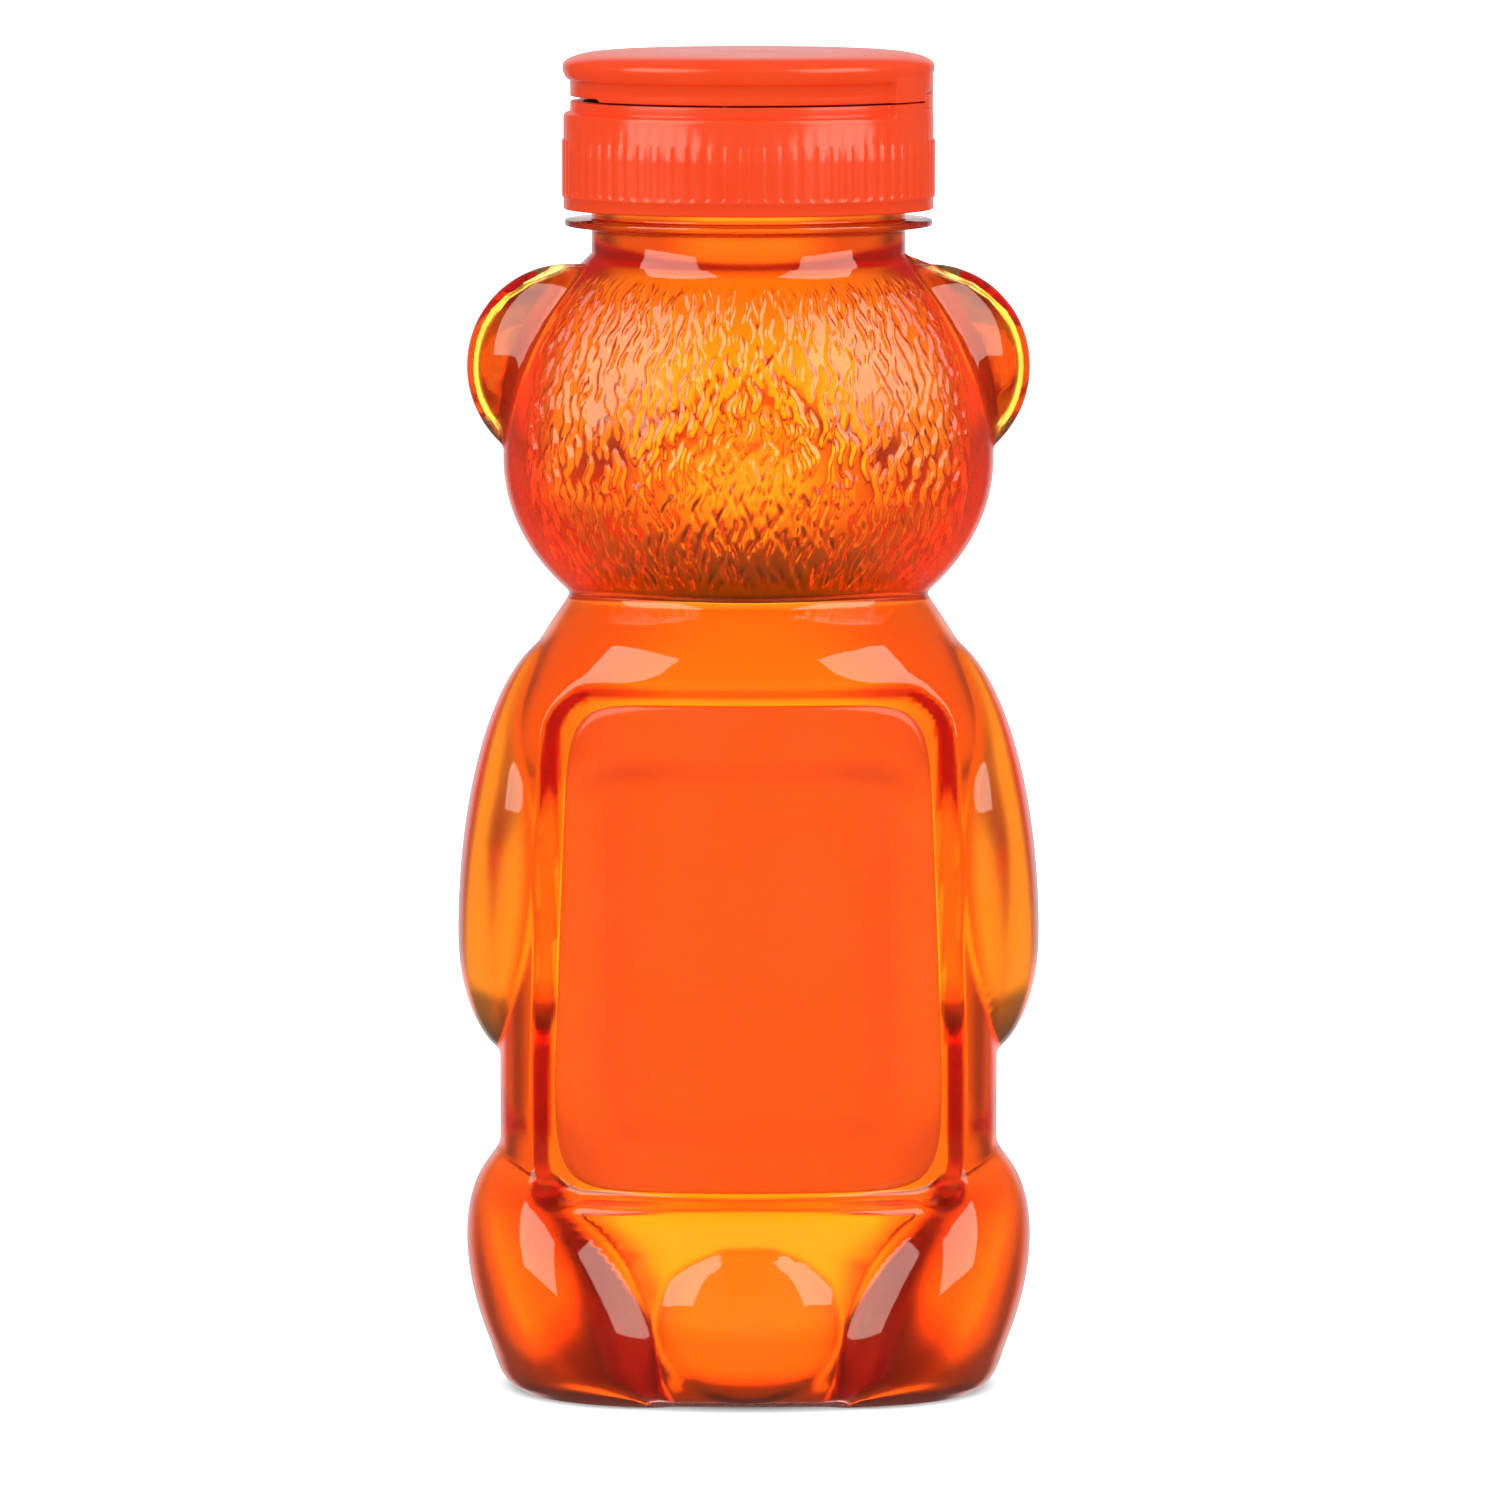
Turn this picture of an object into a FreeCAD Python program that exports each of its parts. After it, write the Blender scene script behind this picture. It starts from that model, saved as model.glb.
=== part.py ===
# Bear-shaped squeeze bottle for honey with a flip-top screw closure.
# Lengths are in millimetres. +Z is up, the bear's back faces +Y and the closure's hinge is on -X.
# The origin is on the standing plane, under the axis of the neck.
import FreeCAD, Part
import math
import os

from FreeCAD import Vector

# Wall of the blow moulding, and the film of air that the modelled honey leaves inside it
wall = 0.75
honey_clearance = 0.10

# Trunk: plan sections are superellipses that round in at the base and at the shoulders
trunk_half_width = 27.4
trunk_half_depth = 23.2
trunk_height = 87.5
trunk_plan_power = 2.8
trunk_base_round = 5.0
trunk_base_sink = 1.0
shoulder_rise = 18.0
nape_rise = 14.0
crease_half_width = 19.7
crease_half_depth = 17.9
crease_plan_power = 2.1
crease_overlap = 3.0

# Bevel round the standing face, and the push-up dome in the middle of it
standing_half_width = 25.0
standing_half_depth = 22.6
base_bevel_angle = 60.0
push_up_radius = 13.0
push_up_height = 1.6

# Head: an egg of two half ellipses, flattened from front to back
head_half_width = 27.0
head_half_depth = 24.3
head_middle_above_crease = 15.0
head_lower_height = 21.5
head_upper_height = 27.5

# Ears: flat ellipsoids beside the middle of the head, turned so that their backs face outward
ear_offset = 19.7
ear_back = 3.0
ear_rise = 10.1
ear_half_width = 11.85
ear_half_depth = 5.6
ear_half_height = 11.4
ear_turn = 20.0

# Arms: a drop-shaped revolve, stretched from front to back, leaning forward as it comes down
arm_offset = 20.0
arm_reach = 12.1
arm_half_depth = 18.6
arm_bottom = 36.0
arm_bottom_reach = 7.0
arm_widest = 49.8
arm_upper_height = 33.7
arm_lean = 0.16
arm_forward = 0.6

# Haunches: leaned ellipsoids that are cut flat at the standing plane
haunch_offset = 16.9
haunch_back = 3.4
haunch_rise = 8.1
haunch_half_length = 21.3
haunch_half_thickness = 11.7
haunch_half_depth = 21.9
haunch_lean = 63.4

# Feet, tail, muzzle, nose and eyes
foot_offset = 15.5
foot_forward = 17.5
foot_rise = 9.3
foot_half_width = 9.0
foot_half_depth = 10.5
foot_half_height = 10.3
tail_radius = 8.0
tail_back = 20.0
tail_rise = 9.0
muzzle_forward = 18.6
muzzle_drop = 2.5
muzzle_half_width = 10.0
muzzle_half_depth = 8.6
muzzle_half_height = 7.6
nose_forward = 25.6
nose_rise = 1.2
nose_half_width = 3.4
nose_half_depth = 2.2
nose_half_height = 2.3
eye_offset = 8.6
eye_forward = 21.2
eye_rise = 7.0
eye_radius = 2.3

# Recessed label panels on the back and the belly, each a vertical cylinder patch whose top slopes out
panel_bow_radius = 44.0
back_panel_depth = 1.4
back_panel_half_width = 21.6
back_panel_top_half_width = 19.4
back_panel_bottom = 22.3
back_panel_taper_from = 46.0
back_panel_top = 76.7
back_panel_corner = 5.0
back_panel_scoop = 4.8
belly_panel_depth = 0.9
belly_panel_half_width = 14.5
belly_panel_bottom = 25.0
belly_panel_top = 69.0
belly_panel_corner = 6.0
belly_panel_scoop = 2.5

# Film label in the back panel
label_thickness = 0.15
label_margin = 1.4

# Neck with its transfer ring. The finish, which takes the closure, starts a little above the root
head_to_neck = 36.2
finish_above_root = 1.3
neck_radius = 17.25
neck_bore_radius = 15.4
neck_below_ring = 4.0
ring_radius = 20.2
ring_tip = 0.7
ring_bevel = 1.1
neck_above_ring = 9.8
lip_round = 0.5
honey_below_lip = 6.8

# Liner between the mouth and the deck of the closure
liner_thickness = 0.8
liner_side_clearance = 0.3
liner_hole_radius = 13.5

# Screw base of the closure
ring_clearance = 1.1
skirt_clearance = 1.75
skirt_thickness = 1.35
grip_band_height = 6.4
grip_band_proud = 0.15
grip_band_rise = 1.3
grip_grooves = 75
groove_width = 0.95
groove_depth = 0.26
groove_end = 0.28
deck_thickness = 1.2
shoulder_round = 0.6
collar_step = 0.75
collar_thickness = 1.4
collar_height = 1.2
spout_bore_radius = 3.3
spout_thickness = 1.2
spout_height = 4.1

# Flip lid
lid_gap = 0.2
lid_height = 5.2
lid_thickness = 1.4
lid_rim_proud = 0.85
lid_rim_height = 3.1
lid_crown_radius = 15.5
lid_inner_round = 0.8
plug_clearance = 0.2
plug_depth = 0.7
plug_thickness = 1.0
thumb_notch_angle = 33.0
thumb_notch_height = 0.35

# Hinge: bosses on base and lid, joined by a thin web that lies in rebates
boss_angle = 38.0
boss_proud = 0.7
web_angle = 16.5
web_thickness = 0.4
web_half_height = 0.8
web_clearance = 0.05

# Heights that follow from the sizes above
head_middle = trunk_height + head_middle_above_crease
neck_root = trunk_height + head_to_neck
finish_bottom = neck_root + finish_above_root
ring_top = neck_root + neck_below_ring + ring_bevel
lip_height = ring_top + neck_above_ring
honey_level = lip_height - honey_below_lip
deck_bottom = lip_height + liner_thickness
deck_top = deck_bottom + deck_thickness
collar_top = deck_top + collar_height
lid_bottom = collar_top + lid_gap
lid_top = lid_bottom + lid_height
skirt_bottom = ring_top + ring_clearance
skirt_bore_radius = neck_radius + skirt_clearance
skirt_radius = skirt_bore_radius + skirt_thickness
collar_radius = skirt_radius - collar_step
boss_radius = collar_radius + boss_proud
hinge_height = collar_top + lid_gap / 2

up = Vector(0, 0, 1)
axis_foot = Vector(0, 0, 0)
far = 200.0


def shouldered(share):
    """Rise from 0 that starts level and is steepest at a share of 1, where it reaches 1."""
    return 1 - math.cos(max(share, 0.0) * math.pi / 2)


def revolved(edges):
    """Solid of revolution about Z of a closed outline drawn in the XZ plane."""
    face = Part.Face(Part.Wire(edges))
    return face.revolve(axis_foot, up, 360)


def outline(points):
    """Straight edges through (radius, height) points, closed back to the first one."""
    corners = [Vector(radius, 0, height) for radius, height in points]
    return Part.makePolygon(corners + [corners[0]]).Edges


def ring(inner_radius, outer_radius, bottom, top):
    """Plain tube about Z, or a disc where the inner radius is 0."""
    tube = Part.makeCylinder(outer_radius, top - bottom, Vector(0, 0, bottom))
    if inner_radius > 0:
        tube = tube.cut(Part.makeCylinder(inner_radius, top - bottom, Vector(0, 0, bottom)))
    return tube


def sector(inner_radius, outer_radius, bottom, top, half_angle, middle_angle):
    """Part of a tube, half_angle degrees to each side of middle_angle."""
    corners = [(inner_radius, bottom), (outer_radius, bottom), (outer_radius, top), (inner_radius, top)]
    face = Part.Face(Part.Wire(outline(corners)))
    face.rotate(axis_foot, up, middle_angle - half_angle)
    return face.revolve(axis_foot, up, 2 * half_angle)


def ellipsoid(centre, half_sizes, lean=0.0, turn=0.0):
    """Sphere stretched to half_sizes, leaned about Y, turned about Z and moved to its centre."""
    stretch = FreeCAD.Matrix()
    stretch.scale(*half_sizes)
    lobe = Part.makeSphere(1.0).transformGeometry(stretch)
    lobe.rotate(axis_foot, Vector(0, 1, 0), lean)
    lobe.rotate(axis_foot, up, turn)
    lobe.translate(Vector(*centre))
    return lobe


def mirrored(lobe):
    """The lobe and its mirror image in the YZ plane."""
    return [lobe, lobe.mirror(axis_foot, Vector(1, 0, 0))]


def superellipse(half_width, half_depth, power, height):
    """Closed curve |x / half_width| ^ power + |y / half_depth| ^ power = 1 at one height."""
    points = []
    for step in range(32):
        angle = 2 * math.pi * step / 32
        cosine, sine = math.cos(angle), math.sin(angle)
        x = math.copysign(abs(cosine) ** (2 / power), cosine) * half_width
        y = math.copysign(abs(sine) ** (2 / power), sine) * half_depth
        points.append(Vector(x, y, height))
    curve = Part.BSplineCurve()
    curve.interpolate(Points=points, PeriodicFlag=True)
    return Part.Wire(curve.toShape())


def trunk_plan(height):
    """Half width, half depth and power of the trunk's section at one height."""
    across = shouldered((height - trunk_height + shoulder_rise) / shoulder_rise)
    along = shouldered((height - trunk_height + nape_rise) / nape_rise)
    half_width = trunk_half_width + (crease_half_width - trunk_half_width) * across
    half_depth = trunk_half_depth + (crease_half_depth - trunk_half_depth) * along
    power = trunk_plan_power + (crease_plan_power - trunk_plan_power) * along
    return half_width, half_depth, power


def trunk(inset):
    """Loft through superellipses from the rounded base to just above the crease of the neck."""
    heights = []
    for angle in (0, 25, 55, 90):
        turn = math.radians(angle)
        rise = trunk_base_round * (1 - math.cos(turn))
        heights.append((rise - trunk_base_sink + inset, trunk_base_round * (1 - math.sin(turn))))
    first = trunk_base_round - trunk_base_sink + inset
    last = trunk_height + crease_overlap
    heights += [(first + (last - first) * step / 14, 0.0) for step in range(1, 15)]
    sections = []
    for height, draw_in in heights:
        half_width, half_depth, power = trunk_plan(height)
        less = inset + draw_in
        sections.append(superellipse(half_width - less, half_depth - less, power, height))
    return Part.makeLoft(sections, True)


def quarter_ellipse(reach, height, middle, upward, start=0.0):
    """Quarter ellipse in the XZ plane from its widest point to above or below its centre.

    The centre lies at the radius start and the height middle.
    """
    sign = 1 if upward else -1
    centre = Vector(start, 0, middle)
    side = Vector(start + reach, 0, middle)
    end = Vector(start, 0, middle + sign * height)
    if reach >= height:
        return Part.Ellipse(side, end, centre).toShape(0, math.pi / 2)
    return Part.Ellipse(end, side, centre).toShape(0, math.pi / 2)


def head(inset):
    """Egg of revolution, flattened from front to back."""
    half_width = head_half_width - inset
    lower, upper = head_lower_height - inset, head_upper_height - inset
    shaft = Part.makeLine(Vector(0, 0, head_middle - lower), Vector(0, 0, head_middle + upper))
    egg = revolved(Part.__sortEdges__([
        shaft,
        quarter_ellipse(half_width, upper, head_middle, True),
        quarter_ellipse(half_width, lower, head_middle, False),
    ]))
    flatten = FreeCAD.Matrix()
    flatten.scale(1, (head_half_depth - inset) / half_width, 1)
    return egg.transformGeometry(flatten)


def arm(inset):
    """Drop-shaped revolve, stretched along Y and sheared so that its lower end comes forward."""
    reach = arm_reach - inset
    bottom = arm_bottom + inset
    top = arm_widest + arm_upper_height - inset
    flat = reach - arm_bottom_reach
    drop = revolved(Part.__sortEdges__([
        Part.makeLine(Vector(0, 0, top), Vector(0, 0, bottom)),
        Part.makeLine(Vector(0, 0, bottom), Vector(flat, 0, bottom)),
        quarter_ellipse(arm_bottom_reach, arm_widest - bottom, arm_widest, False, flat),
        quarter_ellipse(reach, top - arm_widest, arm_widest, True),
    ]))
    stretch = FreeCAD.Matrix()
    stretch.scale(1, (arm_half_depth - inset) / reach, 1)
    stretch.A23 = arm_lean
    stretch.A24 = -arm_forward - arm_lean * (arm_widest + arm_upper_height / 3)
    lobe = drop.transformGeometry(stretch)
    lobe.translate(Vector(arm_offset, 0, 0))
    return lobe


def panel_cutter(prism, side, top, depth, scoop, inset):
    """Everything outside one label panel, within its prism. side is 1 at the back.

    The floor is an upright cylinder. Over the height scoop it turns into a cone that meets the trunk at the
    panel's top.
    """
    face_y = trunk_half_depth - depth
    slope = math.atan2(trunk_plan(top)[1] - face_y, scoop)
    radius = panel_bow_radius - inset
    turn = top - scoop + inset * math.tan(slope / 2)
    bow = revolved(outline([
        (0, -far), (radius, -far), (radius, turn), (radius + far * math.tan(slope), turn + far),
        (0, turn + far),
    ]))
    bow.translate(Vector(0, side * (face_y - panel_bow_radius), 0))
    return prism.cut(bow)


def rounded_prism(half_sides, corner):
    """Rounded outline in the XZ plane, extruded towards the bear's back.

    half_sides is its right side as (half width, height) points from the bottom to the top.
    """
    right = [Vector(half_width, 0, height) for half_width, height in half_sides]
    left = [Vector(-half_width, 0, height) for half_width, height in reversed(half_sides)]
    block = Part.Face(Part.makePolygon(right + left + [right[0]])).extrude(Vector(0, far, 0))
    ends = (half_sides[0][1], half_sides[-1][1])
    rounded = []
    for edge in block.Edges:
        level = edge.CenterOfMass.z
        outward = abs(edge.tangentAt(edge.FirstParameter).y) > 0.9
        if outward and min(abs(level - end) for end in ends) < 0.001:
            rounded.append(edge)
    return block.makeFillet(corner, rounded)


def back_panel_prism(grow, top):
    """Outline of the back panel up to a height, grown by a distance on every side."""
    return rounded_prism([
        (back_panel_half_width + grow, back_panel_bottom - grow),
        (back_panel_half_width + grow, back_panel_taper_from),
        (back_panel_top_half_width + grow, top + grow),
    ], back_panel_corner + grow)


def belly_panel_prism(grow):
    """Outline of the belly panel, grown by a distance on every side."""
    half_width = belly_panel_half_width + grow
    prism = rounded_prism([(half_width, belly_panel_bottom - grow), (half_width, belly_panel_top + grow)],
                          belly_panel_corner + grow)
    return prism.mirror(axis_foot, Vector(0, 1, 0))


def skin(inset):
    """The bear from its base to the root of the neck, drawn in from the outside by inset."""
    lobes = [trunk(inset), head(inset)]
    lobes += mirrored(arm(inset))
    lobes += mirrored(ellipsoid(
        (ear_offset, ear_back, head_middle + ear_rise),
        (ear_half_width - inset, ear_half_depth - inset, ear_half_height - inset), turn=-ear_turn))
    lobes += mirrored(ellipsoid(
        (haunch_offset, haunch_back, haunch_rise),
        (haunch_half_length - inset, haunch_half_depth - inset, haunch_half_thickness - inset),
        -haunch_lean))
    lobes += mirrored(ellipsoid(
        (foot_offset, -foot_forward, foot_rise),
        (foot_half_width - inset, foot_half_depth - inset, foot_half_height - inset)))
    lobes.append(ellipsoid((0, tail_back, tail_rise), (tail_radius - inset,) * 3))
    lobes.append(ellipsoid(
        (0, -muzzle_forward, head_middle - muzzle_drop),
        (muzzle_half_width - inset, muzzle_half_depth - inset, muzzle_half_height - inset)))
    lobes.append(ellipsoid(
        (0, -nose_forward, head_middle + nose_rise),
        (nose_half_width - inset, nose_half_depth - inset, nose_half_height - inset)))
    lobes += mirrored(ellipsoid(
        (eye_offset, -eye_forward, head_middle + eye_rise), (eye_radius - inset,) * 3))
    bear = lobes[0].multiFuse(lobes[1:])
    cutters = [
        panel_cutter(back_panel_prism(inset, back_panel_top), 1, back_panel_top,
                     back_panel_depth, back_panel_scoop, inset),
        panel_cutter(belly_panel_prism(inset), -1, belly_panel_top,
                     belly_panel_depth, belly_panel_scoop, inset),
        push_up(inset),
    ]
    for cutter in cutters:
        bear = bear.cut(cutter)
    return bear.common(standing_envelope(inset))


def standing_envelope(inset):
    """Space above the standing plane and inside the bevel that rounds every lobe at the base."""
    spread = far * math.tan(math.radians(base_bevel_angle))
    sections = [
        superellipse(standing_half_width + grow - inset, standing_half_depth + grow - inset,
                     trunk_plan_power, inset + rise)
        for grow, rise in ((0.0, 0.0), (spread, far))
    ]
    return Part.makeLoft(sections, True, True)


def push_up(inset):
    """Ball whose cap forms the dome in the base."""
    radius = (push_up_radius ** 2 + push_up_height ** 2) / (2 * push_up_height)
    return Part.makeSphere(radius + inset, Vector(0, 0, push_up_height - radius))


def finish_outside():
    """Filled outline of the neck above the bear, with the transfer ring and the rounded lip."""
    tip_top, tip_bottom = ring_top, ring_top - ring_tip
    edges = outline([
        (0, finish_bottom), (neck_radius, finish_bottom), (neck_radius, tip_bottom - ring_bevel),
        (ring_radius, tip_bottom), (ring_radius, tip_top), (neck_radius, tip_top),
        (neck_radius, lip_height - lip_round), (neck_radius - lip_round, lip_height), (0, lip_height),
    ])
    return revolved(edges)


def neck_bore():
    """Bore from inside the head to above the lip."""
    return Part.makeCylinder(neck_bore_radius, lip_height, Vector(0, 0, head_middle))


def neck_finish():
    """Open tube of the neck that the closure screws on."""
    return finish_outside().cut(neck_bore())


def bottle():
    """Blown bear, up to the finish of its neck."""
    stub = Part.makeCylinder(neck_radius, finish_bottom - head_middle, Vector(0, 0, head_middle))
    outside = skin(0.0).fuse(stub)
    inside = skin(wall).fuse(neck_bore())
    return outside.cut(inside).cut(finish_outside())


def honey():
    """Contents up to the fill level in the neck."""
    bore = Part.makeCylinder(neck_bore_radius - honey_clearance, honey_level - head_middle,
                             Vector(0, 0, head_middle))
    return skin(wall + honey_clearance).fuse(bore)


def back_label():
    """Film on the floor of the back panel, clear of the panel's edges and of its sloped top."""
    prism = back_panel_prism(-label_margin, back_panel_top - back_panel_scoop)
    middle = Vector(0, trunk_half_depth - back_panel_depth - panel_bow_radius, 0)
    film = ring(panel_bow_radius, panel_bow_radius + label_thickness, 0, far)
    film.translate(middle)
    return prism.common(film)


def seal_liner():
    """Ring that the deck presses on the mouth."""
    return ring(liner_hole_radius, skirt_bore_radius - liner_side_clearance, lip_height, deck_bottom)


def web_rebate(clearance):
    """Room for the hinge web in the bosses, or with no clearance the web itself."""
    return sector(boss_radius - web_thickness - clearance, boss_radius + clearance,
                  hinge_height - web_half_height - clearance, hinge_height + web_half_height + clearance,
                  web_angle + math.degrees(clearance / boss_radius), 180)


def grip_groove_cutters(radius, bottom, top):
    """Evenly spaced upright rods with round lower ends, which cut the grip's grooves."""
    rod_radius = (groove_width ** 2 / 4 + groove_depth ** 2) / (2 * groove_depth)
    foot = Vector(radius - groove_depth + rod_radius, 0, bottom)
    rod = Part.makeCylinder(rod_radius, top - bottom, foot).fuse(Part.makeSphere(rod_radius, foot))
    rods = []
    for step in range(grip_grooves):
        copy = rod.copy()
        copy.rotate(axis_foot, up, 360 * (step + 0.5) / grip_grooves)
        rods.append(copy)
    return rods


def closure_base():
    """Skirt, deck, collar and spout, with the grooved grip and the lower boss of the hinge."""
    outside = revolved(outline([
        (0, skirt_bottom), (skirt_radius, skirt_bottom), (skirt_radius, deck_top - shoulder_round),
        (skirt_radius - 0.3 * shoulder_round, deck_top - 0.3 * shoulder_round),
        (skirt_radius - shoulder_round, deck_top), (collar_radius, deck_top), (collar_radius, collar_top),
        (collar_radius - collar_thickness, collar_top), (collar_radius - collar_thickness, deck_top),
        (0, deck_top),
    ]))
    grip_bottom = skirt_bottom + grip_band_rise
    grip_top = grip_bottom + grip_band_height
    grip_radius = skirt_radius + grip_band_proud
    grip = ring(skirt_radius - skirt_thickness / 2, grip_radius, grip_bottom, grip_top)
    spout = Part.makeCylinder(spout_bore_radius + spout_thickness, spout_height, Vector(0, 0, deck_top))
    boss = sector(collar_radius - collar_thickness / 2, boss_radius, deck_top - shoulder_round, collar_top,
                  boss_angle, 180)
    solid = outside.multiFuse([grip, spout, boss])
    solid = solid.cut(ring(0, skirt_bore_radius, skirt_bottom - 1, deck_bottom))
    solid = solid.cut(ring(0, spout_bore_radius, skirt_bottom, deck_top + spout_height + 1))
    solid = solid.cut(web_rebate(web_clearance)).removeSplitter()
    groove_foot = grip_bottom + groove_end + groove_width / 2
    return solid.cut(grip_groove_cutters(grip_radius, groove_foot, grip_top))


def flip_lid():
    """Crowned lid with a bulged rim, a plug for the spout, a thumb notch and the upper boss."""
    rim_radius = collar_radius + lid_rim_proud
    rim_middle = lid_top - lid_rim_height / 2
    ceiling = lid_top - lid_thickness
    inner = collar_radius - collar_thickness
    under = Vector(collar_radius, 0, lid_top - lid_rim_height)
    shell = revolved(Part.__sortEdges__([
        Part.makeLine(Vector(0, 0, lid_top), Vector(lid_crown_radius, 0, lid_top)),
        quarter_ellipse(rim_radius - lid_crown_radius, lid_rim_height / 2, rim_middle, True,
                        lid_crown_radius),
        quarter_ellipse(lid_rim_proud, lid_rim_height / 2, rim_middle, False, collar_radius),
        Part.makeLine(under, Vector(collar_radius, 0, lid_bottom)),
        Part.makeLine(Vector(collar_radius, 0, lid_bottom), Vector(inner, 0, lid_bottom)),
        Part.makeLine(Vector(inner, 0, lid_bottom), Vector(inner, 0, ceiling - lid_inner_round)),
        Part.makeLine(Vector(inner, 0, ceiling - lid_inner_round),
                      Vector(inner - lid_inner_round, 0, ceiling)),
        Part.makeLine(Vector(inner - lid_inner_round, 0, ceiling), Vector(0, 0, ceiling)),
        Part.makeLine(Vector(0, 0, ceiling), Vector(0, 0, lid_top)),
    ]))
    plug_radius = spout_bore_radius - plug_clearance
    plug = ring(plug_radius - plug_thickness, plug_radius, deck_top + spout_height - plug_depth,
                ceiling + lid_thickness / 2)
    boss = sector(inner + collar_thickness / 2, boss_radius, lid_bottom, rim_middle, boss_angle, 180)
    notch = sector(inner - 1, rim_radius + 1, lid_bottom - 1, lid_bottom + thumb_notch_height,
                   thumb_notch_angle, 0)
    solid = shell.multiFuse([plug, boss]).cut(notch)
    return solid.cut(web_rebate(web_clearance)).removeSplitter()


def living_hinge():
    """Thin web across the gap between the two bosses."""
    return web_rebate(0.0)


makers = {
    "bottle": bottle,
    "neck_finish": neck_finish,
    "honey": honey,
    "back_label": back_label,
    "seal_liner": seal_liner,
    "closure_base": closure_base,
    "flip_lid": flip_lid,
    "living_hinge": living_hinge,
}

os.makedirs("parts", exist_ok=True)
for name, make in makers.items():
    shape = make()
    solids = shape.Solids
    if len(solids) != 1:
        raise ValueError(f"{name} has {len(solids)} solids")
    shape = solids[0]
    if not shape.isValid():
        raise ValueError(f"{name} is not a valid solid")
    box = shape.optimalBoundingBox()
    print(f"{name}: {shape.Volume / 1000:.2f} cm3, "
          f"x {box.XMin:.2f}..{box.XMax:.2f}, y {box.YMin:.2f}..{box.YMax:.2f}, "
          f"z {box.ZMin:.2f}..{box.ZMax:.2f}")
    shape.exportStep(f"parts/{name}.step")
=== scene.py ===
"""Bear-shaped honey bottle with a flip-top closure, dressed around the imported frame.

Sizes in the classes are in millimetres, in the frame's own axes: +Z is up, the bear's back faces +Y
and the hinge of the closure is on -X. Meshes are written in metres. Finishes and the studio are in
metres, as the shaders, the camera and the lamps take them.
"""
import logging
import math
from dataclasses import dataclass
from enum import IntEnum

import bmesh
import bpy
import numpy as np
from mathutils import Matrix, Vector

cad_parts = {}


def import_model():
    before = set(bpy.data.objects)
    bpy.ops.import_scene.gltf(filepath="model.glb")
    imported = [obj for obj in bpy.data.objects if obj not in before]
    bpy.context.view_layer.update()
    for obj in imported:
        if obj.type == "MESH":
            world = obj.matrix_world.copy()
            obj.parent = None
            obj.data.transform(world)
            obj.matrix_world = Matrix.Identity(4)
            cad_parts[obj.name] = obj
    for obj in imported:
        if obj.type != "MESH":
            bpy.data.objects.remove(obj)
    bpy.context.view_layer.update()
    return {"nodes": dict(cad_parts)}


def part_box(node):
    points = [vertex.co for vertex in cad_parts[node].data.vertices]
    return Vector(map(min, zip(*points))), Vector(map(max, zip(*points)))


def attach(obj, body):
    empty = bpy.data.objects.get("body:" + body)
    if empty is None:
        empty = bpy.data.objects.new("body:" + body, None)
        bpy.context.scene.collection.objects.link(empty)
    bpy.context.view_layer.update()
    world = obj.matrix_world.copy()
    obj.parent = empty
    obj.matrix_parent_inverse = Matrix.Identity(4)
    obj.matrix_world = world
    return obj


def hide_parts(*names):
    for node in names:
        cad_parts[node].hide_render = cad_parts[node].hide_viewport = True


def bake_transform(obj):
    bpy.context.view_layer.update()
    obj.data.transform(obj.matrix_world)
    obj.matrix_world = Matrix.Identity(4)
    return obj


Array = np.ndarray
Pair = tuple[float, float]
Point = tuple[float, float, float]
Colour = tuple[float, float, float, float]
Stretch = tuple[float, float, int]
Material = bpy.types.Material
Node = bpy.types.Node
Piece = bpy.types.Object
Socket = bpy.types.NodeSocket

MM = 0.001
FULL_TURN = 2 * math.pi
NO_REACH = -1000.0
WHITE = (1.0, 1.0, 1.0, 1.0)
LOG = logging.getLogger("honey_bear")


class Side(IntEnum):
    """The way that a label panel faces along Y."""

    BACK = 1
    BELLY = -1


class Wall(IntEnum):
    """Material places on the bottle's mesh."""

    OUTSIDE = 0
    WETTED = 1


def smoothstep(start: float, end: float, value: Array) -> Array:
    """Ease from 0 at start to 1 at end: 3t^2 - 2t^3 of the share t between them.

    Args:
        start: Value that gives 0. It may be the larger one.
        end: Value that gives 1.
        value: Values to ease.

    Returns:
        The eased shares.
    """
    share = np.clip((value - start) / (end - start), 0.0, 1.0)
    return share * share * (3 - 2 * share)


def smooth_max(first: Array, second: Array, width: float) -> Array:
    """Larger of two values, plus width times a quarter of the squared closeness of the two.

    Args:
        first: One set of values.
        second: The other set.
        width: Difference within which the corner between them is rounded.

    Returns:
        The rounded maximum.
    """
    closeness = np.clip(1 - np.abs(first - second) / width, 0.0, 1.0)
    return np.maximum(first, second) + width * closeness * closeness / 4


def smooth_min(first: Array, second: Array, width: float) -> Array:
    """Smaller of two values, rounded as smooth_max rounds the larger one."""
    return -smooth_max(-first, -second, width)


def superellipse_reach(angle: Array, half_width: Array, half_depth: Array, power: Array) -> Array:
    """Distance from the axis to |x / half_width| ^ power + |y / half_depth| ^ power = 1.

    Args:
        angle: Direction of each ray about Z.
        half_width: Half size along X.
        half_depth: Half size along Y.
        power: Exponent, 2 for an ellipse and more for a squarer plan.

    Returns:
        The distance along each ray.
    """
    across = np.abs(np.cos(angle)) / half_width
    along = np.abs(np.sin(angle)) / half_depth
    return (across ** power + along ** power) ** (-1 / power)


def full_circle(count: int) -> Array:
    """Evenly spaced angles about Z, rising from 0."""
    return np.linspace(0, FULL_TURN, count, endpoint=False)


def spaced(*stretches: Stretch) -> Array:
    """Values in stretches of (start, end, count), each without its end."""
    parts = [np.linspace(start, end, count, endpoint=False) for start, end, count in stretches]
    return np.concatenate(parts)


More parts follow.
